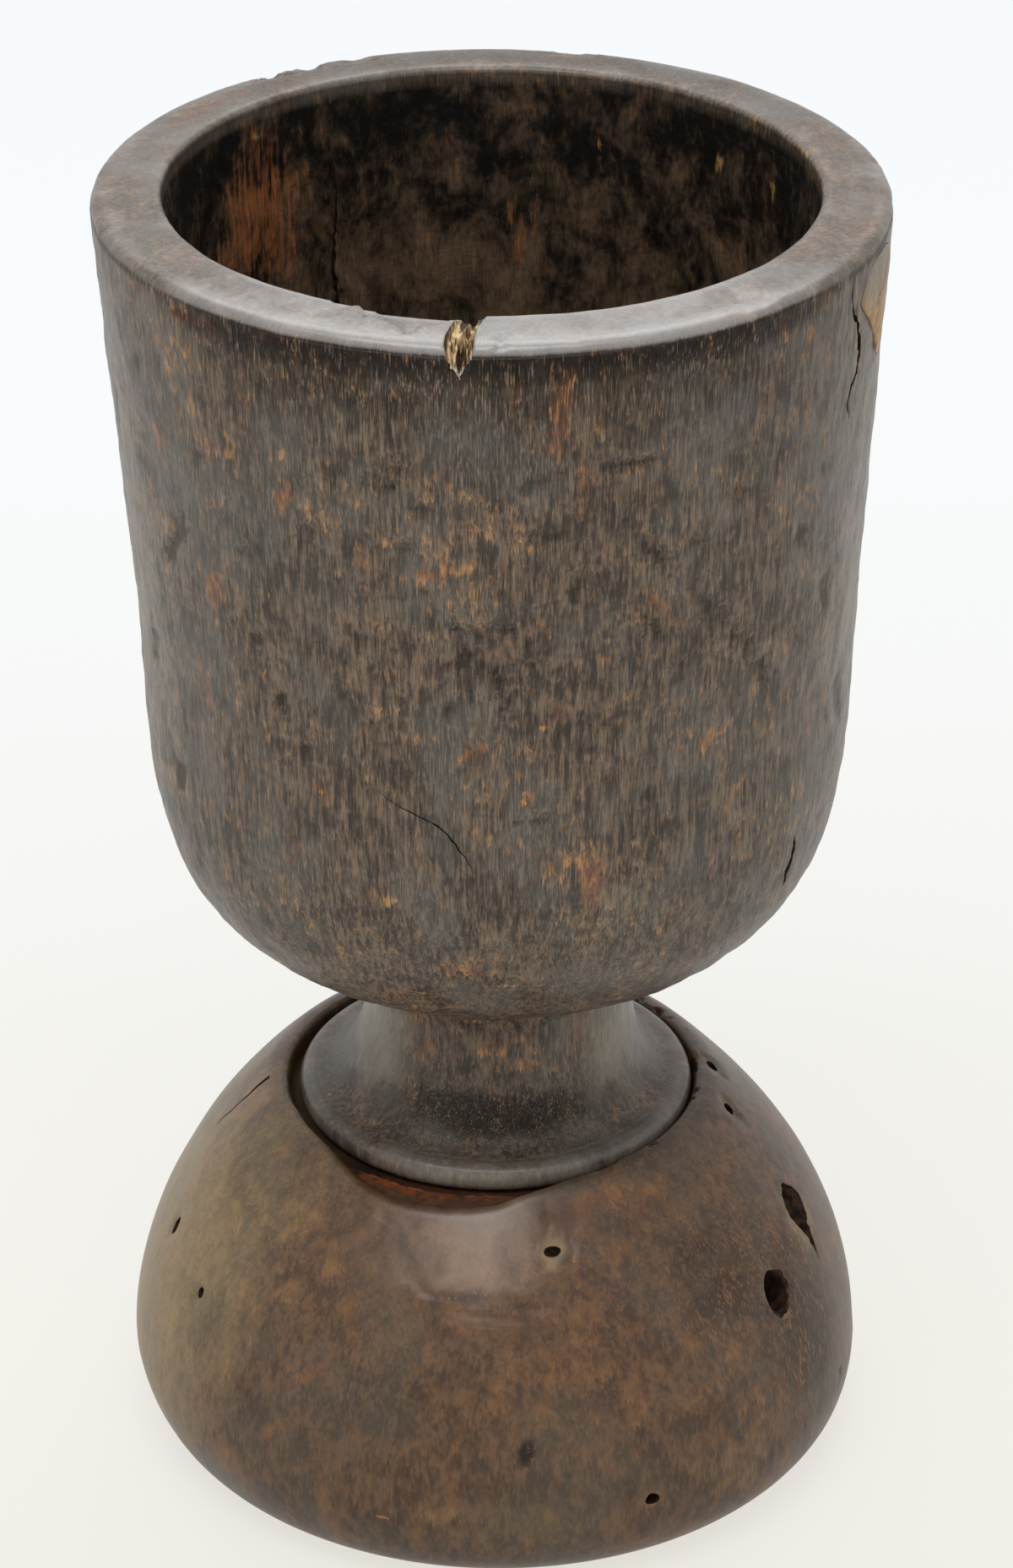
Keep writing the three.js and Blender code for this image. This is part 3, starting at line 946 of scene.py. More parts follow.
# Its rings are (size, reach): from the back in the socket, over the edge, to the crowned face.
def fillerPlug(outline, finish):
    s = fillerShape
    edge = fillerEdge()
    middle = edge.mean(axis=0)
    shrink = 1 - s["gap"] / s["halfWidth"]
    ragged = unevenness(np.array([(a, z, 0) for a, z in edge]), 1.3, s["seed"])
    rings = []
    for size, reach in [(0.12, -s["plugDepth"]), (0.95, -s["plugDepth"]), (1.0, -s["plugDepth"] + 0.3),
                        (1.0, -0.2), (0.985, 0.0), (0.9, 0.08), (0.7, 0.15), (0.4, s["crown"]),
                        (0.12, s["crown"])]:
        ring = []
        for corner, wave in zip(edge, ragged):
            azimuth, height = middle + (corner - middle) * shrink * size
            proud = reach + 0.12 * wave * (reach > -0.5)
            ring.append(spotAt(azimuth, outsideAt(outline, height)[0] + proud, height))
        rings.append(ring)
    plug = tubeObject("fillerPlug", [rings], finish, cutter=False)
    plug.data.shade_smooth()
    return plug


# A place whose height is pulled up and down by fine fibres, so that patches drawn there end in
# ragged strokes along the grain.
def fibrePlace(bench, place, width, length, pull):
    fibre = bench.lumps(place, width, length, 2.0, 0.6)
    shift = bench.node("ShaderNodeCombineXYZ", {}, [0.0, 0.0, (fibre - 0.5) * (pull * mm)])
    return bench.vector("ADD", place, shift), fibre


def channels(bench, name):
    colour = bench.node("ShaderNodeAttribute", {"attribute_name": name}, {}, "Color")
    red = bench.node("ShaderNodeSeparateColor", {}, [colour], "Red")
    return red, red.also("Green"), red.also("Blue")


# Heights in metres between which things change: the inside of the bowl gets paler downwards, torn
# fibres whiten at their tips and the filler greys at its top.
paleInside = (0.17, 0.212)
whiteTips = (0.2126, 0.214)
greyFiller = (0.203, 0.2125)
bumpReach = 0.0004


# Old wood. The stain attribute holds warm, tan, and soot with painted shade; "wear" holds polish that
# also paints a sheen, hollows and how far a point is inside the vessel.
def makeOldWood(name, tones, grain):
    material, bench = newMaterial(name)
    place = bench.place()
    pulled, fibre = fibrePlace(bench, place, grain["fibreWidth"], grain["fibreLength"], grain["pull"])
    warm, tan, sootAndShade = channels(bench, "stainAndShade")
    polishAndSheen, cavity, inside = channels(bench, "wear")
    pitted, dustAndSheen = bench.stored("pitted"), bench.stored("dustAndSheen")

    streak = bench.lumps(place, grain["streakWidth"], grain["streakLength"], 2.0, 0.6, 0, (3, 1, 2))
    cloud = bench.lumps(pulled, grain["cloud"], grain["cloud"] * 1.3, 3.0, 0.6, 0.3, (5, 2, 9))
    patch = bench.lumps(pulled, grain["patch"], grain["patch"] * 1.2, 3.0, 0.62, 0.5, (1, 8, 4))
    speck = bench.lumps(pulled, grain["speck"], grain["speck"] * 1.5, 2.0, 0.6, 0.4, (7, 3, 5))
    cluster = bench.lumps(place, grain["cluster"], grain["cluster"] * 0.8, 2.0, 0.5, 0.6, (9, 4, 1))
    gouge = bench.lumps(place, grain["gouge"] * 1.4, grain["gouge"], 4.0, 0.65, 0.9, (6, 6, 2))
    grit = (bench.lumps(pulled, 0.7, 1.1, 2.0, 0.6, 0.2, (4, 9, 8)) - 0.5) * grain["grit"]

    # Brown from dark to light by the streaks, greyed in clouds.
    depth = fibre * grain["fibreShare"] + streak * (1 - grain["fibreShare"]) + (patch - 0.5) * 0.5
    calm = 1 - bench.rise(polishAndSheen, 0.0, 0.3) * 0.75
    depth = 0.5 + (depth + (gouge - 0.5) * 0.4 + grit * 0.3 - 0.5) * (0.4 + calm * 0.6)
    brown = bench.mix(bench.rise(depth, 0.34, 0.66), tones["dark"], tones["mid"])
    brown = bench.mix(bench.rise(cloud, 0.4, 0.64) * grain["greyShare"], brown, tones["grey"])
    pale = bench.rise(fibre + (cloud - 0.5) * 0.4 + (cluster - 0.5) * 0.3, 0.58, 0.8)
    brown = bench.mix(pale * grain["paleShare"], brown, tones["pale"])

    # Worn through to warm wood, and to bare tan wood in flecks that keep together.
    worn = warm * 0.5 + patch * 0.7 + (speck - 0.5) * 0.9 + grit * 1.1 + (cluster - 0.5) * 0.5
    worn = bench.rise(worn, grain["warmFrom"], grain["warmTo"]) * (0.4 + calm * 0.4)
    brown = bench.mix(worn, brown, bench.mix(bench.rise(speck, 0.42, 0.62), tones["red"], tones["warm"]))
    bare = bench.rise(tan * 0.75 + (speck - 0.5) * 0.9 + (fibre - 0.5) * 0.4 + grit * 0.6, 0.4, 0.75)
    chance = speck + (patch - 0.5) * 0.7 + grit * 0.6 + (cluster - 0.5) * 0.6
    chance = bench.rise(chance, 0.66, 0.84) * calm * grain["fleckShare"]
    brown = bench.mix(bare.math("MAXIMUM", bare * 0.8, chance), brown, tones["tan"])
    dustAndSheen = bench.rise(dustAndSheen + (patch - 0.5) * 0.7 + (speck - 0.5) * 0.5 + grit, 0.0, 1.1)
    brown = bench.mix(dustAndSheen * grain["dustAndSheenShare"], brown, tones["dust"])

    # Dirt and painted shade in the hollows, wear and painted light on the ridges, soot and painted
    # shade, a painted sheen, and a darker inside.
    grimeAndShade = cavity + (speck - 0.5) * 0.5 + grit * 0.6 - (gouge - 0.5) * 0.6
    grimeAndShade = bench.rise(grimeAndShade, 0.55, 1.1) * calm * grain["grimeAndShadeShare"]
    brown = bench.mix(grimeAndShade.math("MAXIMUM", grimeAndShade, pitted * 0.2), brown, tones["grimeAndShade"])
    # Ridges paler: wear, and painted light.
    crest = 0.5 - cavity + (speck - 0.5) * 0.5 + grit * 0.8 + (gouge - 0.5) * 0.7
    brown = bench.mix(bench.rise(crest, 0.14, 0.5) * calm * grain["crestShare"], brown, tones["pale"])
    # Soot and painted shade: darkest in the band below the front of the rim, with painted shade in tool
    # marks, on the cove under the bowl and under the collar.
    sootAndShade = sootAndShade * (1 - bench.rise(fibre + (speck - 0.5) * 0.5, 0.53, 0.68) * 0.75)
    sootAndShadeMask = bench.rise(sootAndShade + (patch - 0.5) * 0.6 + (speck - 0.5) * 0.4 + grit * 0.5, 0.1, 0.95)
    brown = bench.mix(sootAndShadeMask, brown, tones["sootAndShade"], "MULTIPLY")
    thick = bench.rise(sootAndShade + (fibre - 0.5) * 1.5 + (patch - 0.5) * 1.6, 1.0, 1.9)
    brown = bench.mix(thick, brown, tones["sootAndShade"], "MULTIPLY")
    # A painted sheen where the wood is polished.
    paintedSheenAmount = polishAndSheen + (patch - 0.5) * 0.7 + (cloud - 0.5) * 0.5 + (speck - 0.5) * 0.2 + grit * 0.2
    paintedSheenAmount = bench.rise(paintedSheenAmount, 0.2, 1.05) * bench.rise(polishAndSheen, 0.0, 0.3)
    brown = bench.mix(paintedSheenAmount * grain["paintedSheenShare"], brown, tones["paintedSheen"])
    low = 1 - bench.rise(bench.axis(place, "Z"), *paleInside)
    blot = bench.lumps(place, 7.0, 9.0, 4.0, 0.65, 0.4, (2, 2, 6))
    glint = bench.rise(blot + grit * 0.2 + (speck - 0.5) * 0.35 + low * 0.2, 0.42, 0.86)
    cellar = bench.mix(glint, tones["insideDark"], tones["insideLight"])
    reddish = warm * 0.6 + (blot - 0.5) * 1.1 + (streak - 0.5) * 1.3 + (speck - 0.5) * 0.6
    reddish = bench.rise(reddish, 0.2, 0.9) * 0.85
    cellar = bench.mix(reddish, cellar, tones["insideWarm"])
    brown = bench.mix(inside, brown, bench.mix(bare * 0.5, cellar, tones["tan"]))

    # Each fibre is a little lighter or darker than the next.
    lit = bench.rise(fibre * 0.75 + streak * 0.25, 0.36, 0.64)
    lines = bench.mix(lit, tones["fibreDark"], tones["fibreLight"])
    brown = bench.mix(calm * (1 - inside * 0.3), brown, lines, "MULTIPLY")

    rough = grain["rough"] + (fibre - 0.5) * 0.22 + worn * 0.08 + grimeAndShade * 0.15
    rough = rough - polishAndSheen * grain["polishShare"] + inside * 0.15
    relief = fibre * grain["fibreRelief"] + streak * 0.3 + speck * 0.35 - pitted * 0.12
    relief = relief + gouge * grain["gougeRelief"]
    bump = bench.bump(grain["bump"], bumpReach, relief * (calm - inside * 0.5))
    dull = sootAndShadeMask.math("MAXIMUM", sootAndShadeMask, inside)
    coat = bench.rise(polishAndSheen + (fibre - 0.5) * 0.3 + (patch - 0.5) * 0.4, 0.3, 1.0) * grain["coatShare"]
    coat = (coat + grain["coatBase"] * (1 - grimeAndShade)) * (1 - dull * 0.9)
    bench.skin({"Base Color": brown, "Roughness": rough.math("MAXIMUM", rough, 0.16), "Normal": bump,
                "Specular IOR Level": grain["gloss"], "Coat Roughness": 0.34, "Coat Weight": coat})
    return material


bowlWood = makeOldWood(
    "bowlWood",
    {"dark": tone(54, 45, 37), "mid": tone(100, 83, 67), "grey": tone(87, 83, 77),
     "pale": tone(124, 112, 94), "red": tone(108, 66, 42), "warm": tone(136, 93, 56),
     "tan": tone(172, 129, 78), "dust": tone(128, 120, 104), "grimeAndShade": tone(22, 17, 13),
     "sootAndShade": (0.3, 0.27, 0.24, 1), "paintedSheen": tone(140, 137, 134),
     "insideDark": tone(7, 5, 3), "insideLight": tone(88, 70, 53), "insideWarm": tone(134, 82, 48),
     "fibreDark": (0.7, 0.7, 0.7, 1), "fibreLight": (1.32, 1.3, 1.27, 1)},
    {"fibreWidth": 0.2, "fibreLength": 3.6, "pull": 3.6, "streakWidth": 0.8, "streakLength": 9,
     "cloud": 15, "patch": 4.8, "speck": 1.5, "cluster": 20, "gouge": 3.0, "fibreShare": 0.3,
     "grit": 1.0, "greyShare": 0.62, "paleShare": 0.25, "warmFrom": 0.42, "warmTo": 0.87,
     "fleckShare": 0.42, "grimeAndShadeShare": 0.5, "crestShare": 0.24, "rough": 0.43, "polishShare": 0.12,
     "bump": 0.9, "fibreRelief": 0.35, "gougeRelief": 1.1, "gloss": 0.16, "coatShare": 0.5,
     "coatBase": 0.36, "paintedSheenShare": 0.55, "dustAndSheenShare": 0.7},
)
footWood = makeOldWood(
    "footWood",
    {"dark": tone(62, 45, 32), "mid": tone(91, 66, 44), "grey": tone(76, 68, 56),
     "pale": tone(114, 92, 66), "red": tone(106, 62, 37), "warm": tone(122, 80, 45),
     "tan": tone(154, 116, 70), "dust": tone(138, 118, 82), "grimeAndShade": tone(24, 17, 12),
     "sootAndShade": (0.3, 0.27, 0.24, 1), "paintedSheen": tone(148, 124, 108),
     "insideDark": tone(30, 20, 14), "insideLight": tone(76, 52, 35), "insideWarm": tone(120, 60, 30),
     "fibreDark": (0.88, 0.88, 0.88, 1), "fibreLight": (1.12, 1.11, 1.1, 1)},
    {"fibreWidth": 0.5, "fibreLength": 1.7, "pull": 3.0, "streakWidth": 1.6, "streakLength": 4,
     "cloud": 20, "patch": 8.0, "speck": 3.0, "cluster": 26, "gouge": 6.0, "fibreShare": 0.35,
     "grit": 0.15, "greyShare": 0.5, "paleShare": 0.14, "warmFrom": 0.24, "warmTo": 1.15,
     "fleckShare": 0.08, "grimeAndShadeShare": 0.2, "crestShare": 0.08, "rough": 0.42, "polishShare": 0.04,
     "bump": 0.4, "fibreRelief": 0.2, "gougeRelief": 0.7, "gloss": 0.22, "coatShare": 0.5,
     "coatBase": 0.2, "paintedSheenShare": 0.48, "dustAndSheenShare": 0.6},
)


# Inside a crack or a worm hole: dark brown, rough and dusty.
def makeDarkHole():
    material, bench = newMaterial("darkHole")
    place = bench.place()
    dust = bench.lumps(place, 1.1, 1.6, 2.0)
    shade = bench.mix(bench.rise(dust, 0.35, 0.7), tone(18, 12, 8), tone(54, 35, 21))
    bench.skin({"Base Color": shade, "Roughness": 0.85, "Specular IOR Level": 0.1})
    return material


# Freshly broken wood: straw-coloured fibres with dark gaps.
def makeBrokenWood():
    material, bench = newMaterial("brokenWood")
    place = bench.place()
    strand = bench.noise(bench.scaled(place, (0.42, 4, 5)))
    shade = bench.mix(bench.rise(strand, 0.42, 0.6), tone(52, 37, 24), tone(190, 164, 120))
    broad = bench.rise(bench.lumps(place, 1.5, 3.0, 1.0, 0.5, 0, (4, 4, 4)), 0.4, 0.6)
    shade = bench.mix(broad * 0.6, shade, tone(66, 44, 26))
    tip = 1 - bench.rise(bench.axis(place, "Z"), *whiteTips)
    shade = bench.mix(tip * bench.rise(strand, 0.36, 0.5) * 0.8, shade, tone(212, 202, 186))
    bench.skin({"Base Color": shade, "Roughness": 0.8, "Normal": bench.bump(0.8, bumpReach, strand),
                "Specular IOR Level": 0.2})
    return material


# Ochre filler, smooth and a little dirty, greyer at its top.
def makeFillerPaste():
    material, bench = newMaterial("fillerPaste")
    place = bench.place()
    dirt = bench.lumps(place, 1.6, 2.4, 3.0, 0.6)
    fine = bench.lumps(place, 0.5, 5.0, 2.0, 0.6, 0, (2, 6, 1))
    shade = bench.mix(bench.rise(dirt, 0.35, 0.65), tone(128, 94, 48), tone(172, 130, 72))
    shade = bench.mix(bench.rise(fine, 0.5, 0.7) * 0.6, shade, tone(86, 62, 36))
    greyed = bench.rise(bench.axis(place, "Z") + (dirt - 0.5) * 0.014, *greyFiller) * 0.85
    shade = bench.mix(greyed, shade, tone(112, 106, 94))
    bump = bench.bump(0.4, 0.0003, dirt + fine * 0.4)
    bench.skin({"Base Color": shade, "Roughness": 0.5, "Normal": bump})
    return material


darkHole = makeDarkHole()
brokenWood = makeBrokenWood()
fillerPaste = makeFillerPaste()
print("cup: finishes made")


# Evens out values from point to point along the edges, so many times.
def evenOut(mesh, values, rounds):
    pairs = np.empty(len(mesh.edges) * 2, dtype=np.int64)
    mesh.edges.foreach_get("vertices", pairs)
    first, second = pairs[::2], pairs[1::2]
    touching = np.bincount(pairs, minlength=len(values))
    for _ in range(rounds):
        total = np.bincount(first, values[second], len(values))
        total += np.bincount(second, values[first], len(values))
        values = total / touching
    return values


# From 0 on ridges through 0.5 to 1 in hollows: how far ageing sank each point of a turned block,
# against the points near it and those farther round it.
def sunkness(mesh, turned, normals):
    nearRounds, farRounds = 6, 50
    sunk = ((turned - pointsOf(mesh)) * normals).sum(axis=1) / mm
    near = sunk - evenOut(mesh, sunk, nearRounds)
    far = sunk - evenOut(mesh, sunk, farRounds)
    return np.clip(0.5 + near * 1.9 + far * 0.35, 0, 1)


paintRagged = (2.3, 0.8, 41)


# Writes the attributes of stains and painted shade, of wear, and of dust and painted sheen on a
# finished block. The sunk values come from the block as it was before it was cut, point by nearest
# point.
def paintBlock(mesh, dabs, shade, polishAndSheen, inside, wholePoints, sunk):
    tree = KDTree(len(wholePoints))
    for i, spot in enumerate(wholePoints):
        tree.insert(spot, i)
    tree.balance()
    points = pointsOf(mesh)
    cavity = np.array([sunk[tree.find(spot)[1]] for spot in points])
    around, ragged = aroundOf(points), raggedness(points, *paintRagged)
    stainAndShade = [dabsOf(around, dabs[kind], ragged) for kind in ("warm", "tan", "sootAndShade")]
    stainAndShade[2] = np.maximum(stainAndShade[2], shade(*around))
    setValues(mesh, "stainAndShade", np.column_stack(stainAndShade))
    setValues(mesh, "wear", np.column_stack([polishAndSheen(*around), cavity, inside(*around)]))
    setValues(mesh, "dustAndSheen", dabsOf(around, dabs["dust"], ragged * 0.4))


bowlDabs = {
    "warm": [
        (-31.4, 188.8, 9, 4, 20, 0.9), (9.1, 205.5, 22, 5, 8, 1.0), (12.5, 193, 14, 4, 6, 0.7),
        (-46.8, 170, 14, 6, 0, 0.8), (-19, 181.8, 6, 5, 0, 0.7), (-9, 180, 4, 10, 0, 0.9),
        (-18.8, 176, 4, 3, 0, 0.8), (7.8, 171.3, 7, 5, 0, 0.6), (17, 165, 4, 4, 0, 0.8),
        (9.5, 156.2, 6, 7, 0, 0.6), (-2.2, 149.7, 9, 9, 0, 0.7), (5, 142.8, 6, 4, 0, 0.8),
        (-27.6, 140.1, 8, 6, 0, 0.7), (15.1, 126.4, 17, 6, 0, 1.0), (-5.1, 110.8, 5, 9, 0, 0.7),
        (-19.8, 122.4, 8, 6, 0, 0.6), (-52, 150, 14, 6, 10, 0.6), (-58, 190, 12, 6, 0, 0.7),
        (-70, 176, 16, 8, 0, 0.5), (33, 146, 7, 8, 0, 0.5), (25, 172, 18, 4, -38, 0.8),
        (-38, 205, 10, 5, 0, 0.6), (40, 200, 10, 5, 0, 0.4), (-34, 128, 10, 7, 0, 0.5),
        (60, 140, 12, 7, 0, 0.5), (100, 180, 22, 9, 10, 0.7), (140, 140, 24, 9, -8, 0.7),
        (-110, 165, 26, 9, 0, 0.7), (-150, 130, 18, 9, 12, 0.6), (175, 190, 20, 8, 0, 0.6),
        (0, 80, 6, 14, 0, 0.3), (-36, 78, 14, 12, 0, 0.55), (40, 80, 14, 12, 0, 0.55),
        (0, 60, 6, 90, 0, 0.6),
        (-131, 198, 44, 26, 0, 1.0), (-120, 190, 30, 12, 0, 0.8),
        (-46, 213.6, 3.6, 16, 0, 1.3), (-60, 213, 3.4, 12, 0, 1.0), (-32, 214.8, 1.6, 12, 0, 0.9),
        (16, 215.2, 1.4, 14, 0, 0.8), (54, 214, 3, 12, 0, 0.7),
        (-2, 215.0, 1.6, 3.5, 0, 0.9), (4, 215.0, 1.6, 4, 0, 0.7), (35, 214.4, 2, 14, 0, 0.5),
        (-125, 217.2, 7, 30, 0, 0.7, 55), (-95, 217.2, 4, 14, 0, 0.5, 58),
        (75, 217.2, 5, 26, 0, 0.6, 57), (110, 217.2, 4, 18, 0, 0.5, 54), (170, 217.2, 4, 18, 0, 0.4, 55),
    ],
    "tan": [
        (-30.2, 208.8, 5, 1.6, 0, 1.0), (-31.3, 195.7, 7, 1.8, 4, 0.9), (-35.1, 171.8, 9, 1.6, 12, 0.8),
        (-37, 158, 9, 1.4, 18, 0.8), (7.4, 154.9, 3.5, 2.6, 30, 1.1), (4.5, 142.7, 4, 2.4, -20, 1.1),
        (-27.6, 139.7, 3, 2.4, 0, 1.0), (-16.9, 123.4, 7, 4, 20, 0.9), (-4.8, 111.4, 7, 4, 0, 0.9),
        (1.7, 107.6, 2, 9, 0, 0.8), (22.3, 118.7, 9, 1.8, -25, 0.9), (8.2, 170, 3, 3, 0, 0.8),
        (-7.3, 175.5, 2.4, 8, 0, 0.6), (-16.2, 168.6, 2.5, 7, 0, 0.7), (16.5, 168.6, 3, 4, 40, 0.8),
        (21, 172, 8, 2, -42, 0.7), (12, 157.5, 4, 1.2, 0, 0.7), (29.5, 153, 2.4, 8, 0, 0.5),
        (-11.4, 104.9, 1.6, 14, 0, 0.8), (12, 110, 5, 3, 0, 0.6),
        (12.7, 217.2, 2, 6, 0, 0.6, 52), (-44.8, 217.2, 2.5, 3, 0, 0.8, 54),
        (64.5, 205, 18, 2.4, -10, 0.8), (65.6, 198.4, 6, 2.6, 0, 1.2), (21.8, 198.9, 2, 4, 6, 0.9),
        # The three dabs below, on the waist's sides and round the collar, are pale wood with a painted
        # sheen.
        (-40, 80, 14, 14, 0, 0.34), (40, 80, 14, 14, 0, 0.34), (0, 60, 6, 160, 0, 0.42),
        (-148.8, 214, 6, 3, 0, 0.8), (134, 207, 6, 4, 0, 1.0),
        (118, 207, 6, 4, 0, 1.0), (137, 200, 18, 0.8, 0, 0.8), (-131, 212, 3, 6, 0, 0.8),
        (57, 113, 3, 2, 0, 0.8), (120, 160, 8, 3, 20, 0.8), (-95, 140, 9, 3, 0, 0.8),
        (160, 205, 7, 3, 0, 0.8),
    ],
    "sootAndShade": [
        (2, 199, 12, 44, 0, 0.45),
        (-5, 196, 7, 30, 0, 0.4), (20, 191, 9, 26, 0, 0.5), (-38, 180, 18, 10, 20, 0.4),
        (3, 178, 10, 20, 0, 0.35), (-1, 163, 8, 12, 0, 0.5), (44, 190, 20, 12, -20, 0.35),
        # The dabs 67 mm up on the cove and 95 mm up on the bowl's underside are painted shade below the
        # bowl.
        (-57, 158, 12, 10, 0, 0.3), (0, 67.5, 12, 50, 0, 1.0), (-48, 67, 7, 14, 0, 0.4),
        (48, 67, 7, 14, 0, 0.4), (0, 95, 4, 40, 0, 0.4),
        # The thin dabs that follow, to the one by the crack at 61 degrees, are painted shade in tool
        # marks and creases.
        (-23, 202.7, 3.2, 20, 4, 0.5), (-16, 193.6, 4.4, 12, 10, 0.6), (-5.5, 195.1, 3.2, 20, -12, 0.5),
        (6, 194.9, 3.2, 9, 9, 0.55), (19, 196.9, 2.8, 18, 4, 0.6), (21, 204.1, 3, 13, 7, 0.45),
        (-12, 176.4, 3.2, 16, -17, 0.55), (-2, 177.4, 3, 9, 12, 0.4), (37, 172.3, 3, 16, -8, 0.55),
        (24.2, 168.4, 7, 2.4, 25, 0.5), (-4.8, 171.6, 3, 8, -26, 0.5), (1, 171.6, 3, 8, 26, 0.5),
        (-38.5, 191.6, 3, 9, 20, 0.5), (61.4, 202.8, 4, 1.2, 0, 0.8),
        # Painted shade on the back of the rim's flat top.
        (180, 217.2, 14, 230, 0, 0.6, 55),
    ],
    # Dust, and painted sheen: the broad dabs on the bowl's sides, on the waist's sides and round the
    # collar stand in for the sheen there.
    "dust": [
        (-78, 165, 120, 60, 0, 0.7), (78, 165, 120, 56, 0, 0.65), (-62, 74, 26, 26, 0, 1.0),
        (62, 74, 26, 26, 0, 0.9), (0, 60, 5, 70, 0, 0.8), (-60, 60, 5, 30, 0, 0.6),
        (60, 60, 5, 30, 0, 0.7), (20, 122, 18, 30, 0, 0.35), (180, 160, 80, 60, 0, 0.3),
    ],
}


# Darker in a band right below the front of the rim, thinning downwards, and painted shade in a thin
# line under the rim's outer edge at the sides.
def bowlShade(azimuth, radius, height):
    front = 1 - stepUp(np.abs(azimuth), 32, 66)
    band = 1.7 * stepUp(height, rimTop - 7.6, rimTop - 4.2)
    haze = 0.64 * stepUp(height, rimTop - 24, rimTop - 7)
    below = 1 - stepUp(height, rimTop - 2.2, rimTop - 1.6)
    edge = stepUp(np.abs(azimuth), 34, 50) * np.exp(-(((height - rimTop + 2.7) / 0.8) ** 2))
    return np.maximum(front * np.maximum(band, haze) * below, 0.8 * edge) * (radius > rimRadius - 5)


# Polish, which also paints a sheen into the colour: at the front of the rim, on the sides of the waist
# and on the collar.
def bowlPolishAndSheen(azimuth, radius, height):
    rim = stepUp(height, rimTop - 2.6, rimTop - 1.6) * stepUp(radius, mouthRadius - 1, mouthRadius + 1)
    flat = stepUp(radius, mouthRadius + 1.2, mouthRadius + 2.2) * stepUp(-radius, -57.6, -56.2)
    rim *= 1 - 0.3 * flat
    rim *= 1 - 0.6 * stepUp(np.abs(azimuth), 28, 62)
    waist = stepUp(height, collarTop + 1, collarTop + 5) * (1 - stepUp(height, 86, 92)) * (radius < 30)
    waist = waist * stepUp(np.abs(azimuth), 28, 50)
    collar = (height > collarUnder + 0.8) * (height < collarTop + 1.5) * stepUp(radius, 28.5, 30)
    return np.maximum(np.maximum(rim, 0.36 * waist), 0.5 * collar)


def bowlInside(azimuth, radius, height):
    return stepUp(rimTop - height, 0.5, 2.5) * hollowSide(radius, height)


footDabs = {
    "warm": [
        (22, 58.5, 5, 22, 0, 0.8), (12, 57, 4, 8, 0, 0.5), (-60, 59, 5, 10, 0, 0.5),
        (38, 56, 8, 12, 0, 0.4), (-26, 57.8, 6, 34, 0, 1.1, 34.0), (-3, 57.8, 4, 16, 0, 0.8, 33.4),
        (-32, 34, 16, 3, 50, 0.7), (-38, 22, 12, 3, 48, 0.6), (-52, 22, 24, 4, 45, 0.5),
        (-12, 40, 14, 4, 35, 0.35), (4, 36, 52, 56, 0, 0.16), (36, 26, 14, 9, 0, 0.25),
        (0, 28, 12, 12, 0, 0.2), (-20, 16, 8, 16, 0, 0.35), (14, 43, 2.4, 2.4, 0, 1.1),
        (-66, 46, 14, 5, 30, 0.4), (60, 24, 14, 8, 0, 0.3), (-25, 46, 12, 12, 0, 0.25),
        (110, 40, 20, 10, 20, 0.5), (165, 30, 20, 12, 0, 0.5), (-120, 35, 24, 10, 20, 0.5),
    ],
    "tan": [
        (-17.9, 13.4, 2, 9, 0, 0.8), (-40, 36, 9, 1.4, 40, 0.5), (-33, 24, 9, 1.2, 45, 0.5),
        # The tan lines 45 and 43 mm up, at 8 and 11 degrees, are painted highlights along small ridges.
        (24, 30, 7, 1.2, -40, 0.3), (8, 45.2, 2, 7, 2, 0.4), (11, 43.4, 2, 4, 0, 0.4),
        (16.5, 52.5, 3, 1.4, 20, 0.7), (58, 40.8, 1.4, 5, 0, 0.5), (26.5, 12.4, 2, 2, 0, 0.6),
    ],
    "sootAndShade": [
        (4.9, 26.4, 8, 4.5, 10, 0.9), (45, 48, 14, 10, 0, 0.25), (75, 45, 14, 8, 0, 0.4),
        (-24, 42, 7, 9, 0, 0.25), (70, 20, 16, 12, 0, 0.3), (-75, 20, 16, 10, 0, 0.25),
        (-6, 48.6, 2.4, 20, -6, 0.6), (6, 47.2, 2, 8, 0, 0.6), (14, 52.5, 3, 5, 0, 0.5),
        (62, 30, 60, 40, 0, 0.62), (46, 44, 30, 34, 0, 0.5),
    ],
    "dust": [
        # The broad dab on the foot's left is dust and a painted sheen.
        (-80, 30, 104, 96, 4, 0.85), (-50, 54, 12, 24, 0, 0.3), (57.4, 37.1, 10, 9, 0, 0.9),
        (12.2, 53.6, 6, 7, 0, 0.9), (74.5, 41, 14, 14, 0, 0.7), (24.7, 14.8, 5, 5, 0, 0.6),
        (82, 58, 5, 5, 0, 0.6), (-125, 30, 50, 40, 0, 0.35), (150, 30, 40, 40, 0, 0.3),
        (40, 16, 16, 30, 0, 0.3), (-6, 53, 9, 18, 0, 0.4), (0, 14, 14, 60, 0, 0.25),
    ],
}


# Painted shade on the foot under the collar.
def footShade(azimuth, radius, height):
    return 0.9 * (radius < collarRadius - 0.2) * (height > 30)


# Polish, which also paints highlights into the colour: a patch high on the front of the dome and two
# thin lines below it.
def footPolishAndHighlight(azimuth, radius, height):
    patch = stepUp(height, 46.5, 50.5) * np.exp(-(((azimuth + 7) / 21) ** 2))
    ledge = height - 45.8 + 0.09 * (azimuth + 4)
    lines = np.exp(-((ledge / 0.8) ** 2)) + 0.6 * np.exp(-(((ledge + 3) / 0.7) ** 2))
    return np.maximum(0.78 * patch, 0.6 * lines * np.exp(-(((azimuth + 2) / 13) ** 2)))


def footInside(azimuth, radius, height):
    sunken = stepUp(lipHeight - height, 1.2, 2.6) * (height > 20)
    return sunken * (1 - stepUp(radius - wornReach(azimuth), -2.4, 2.2))


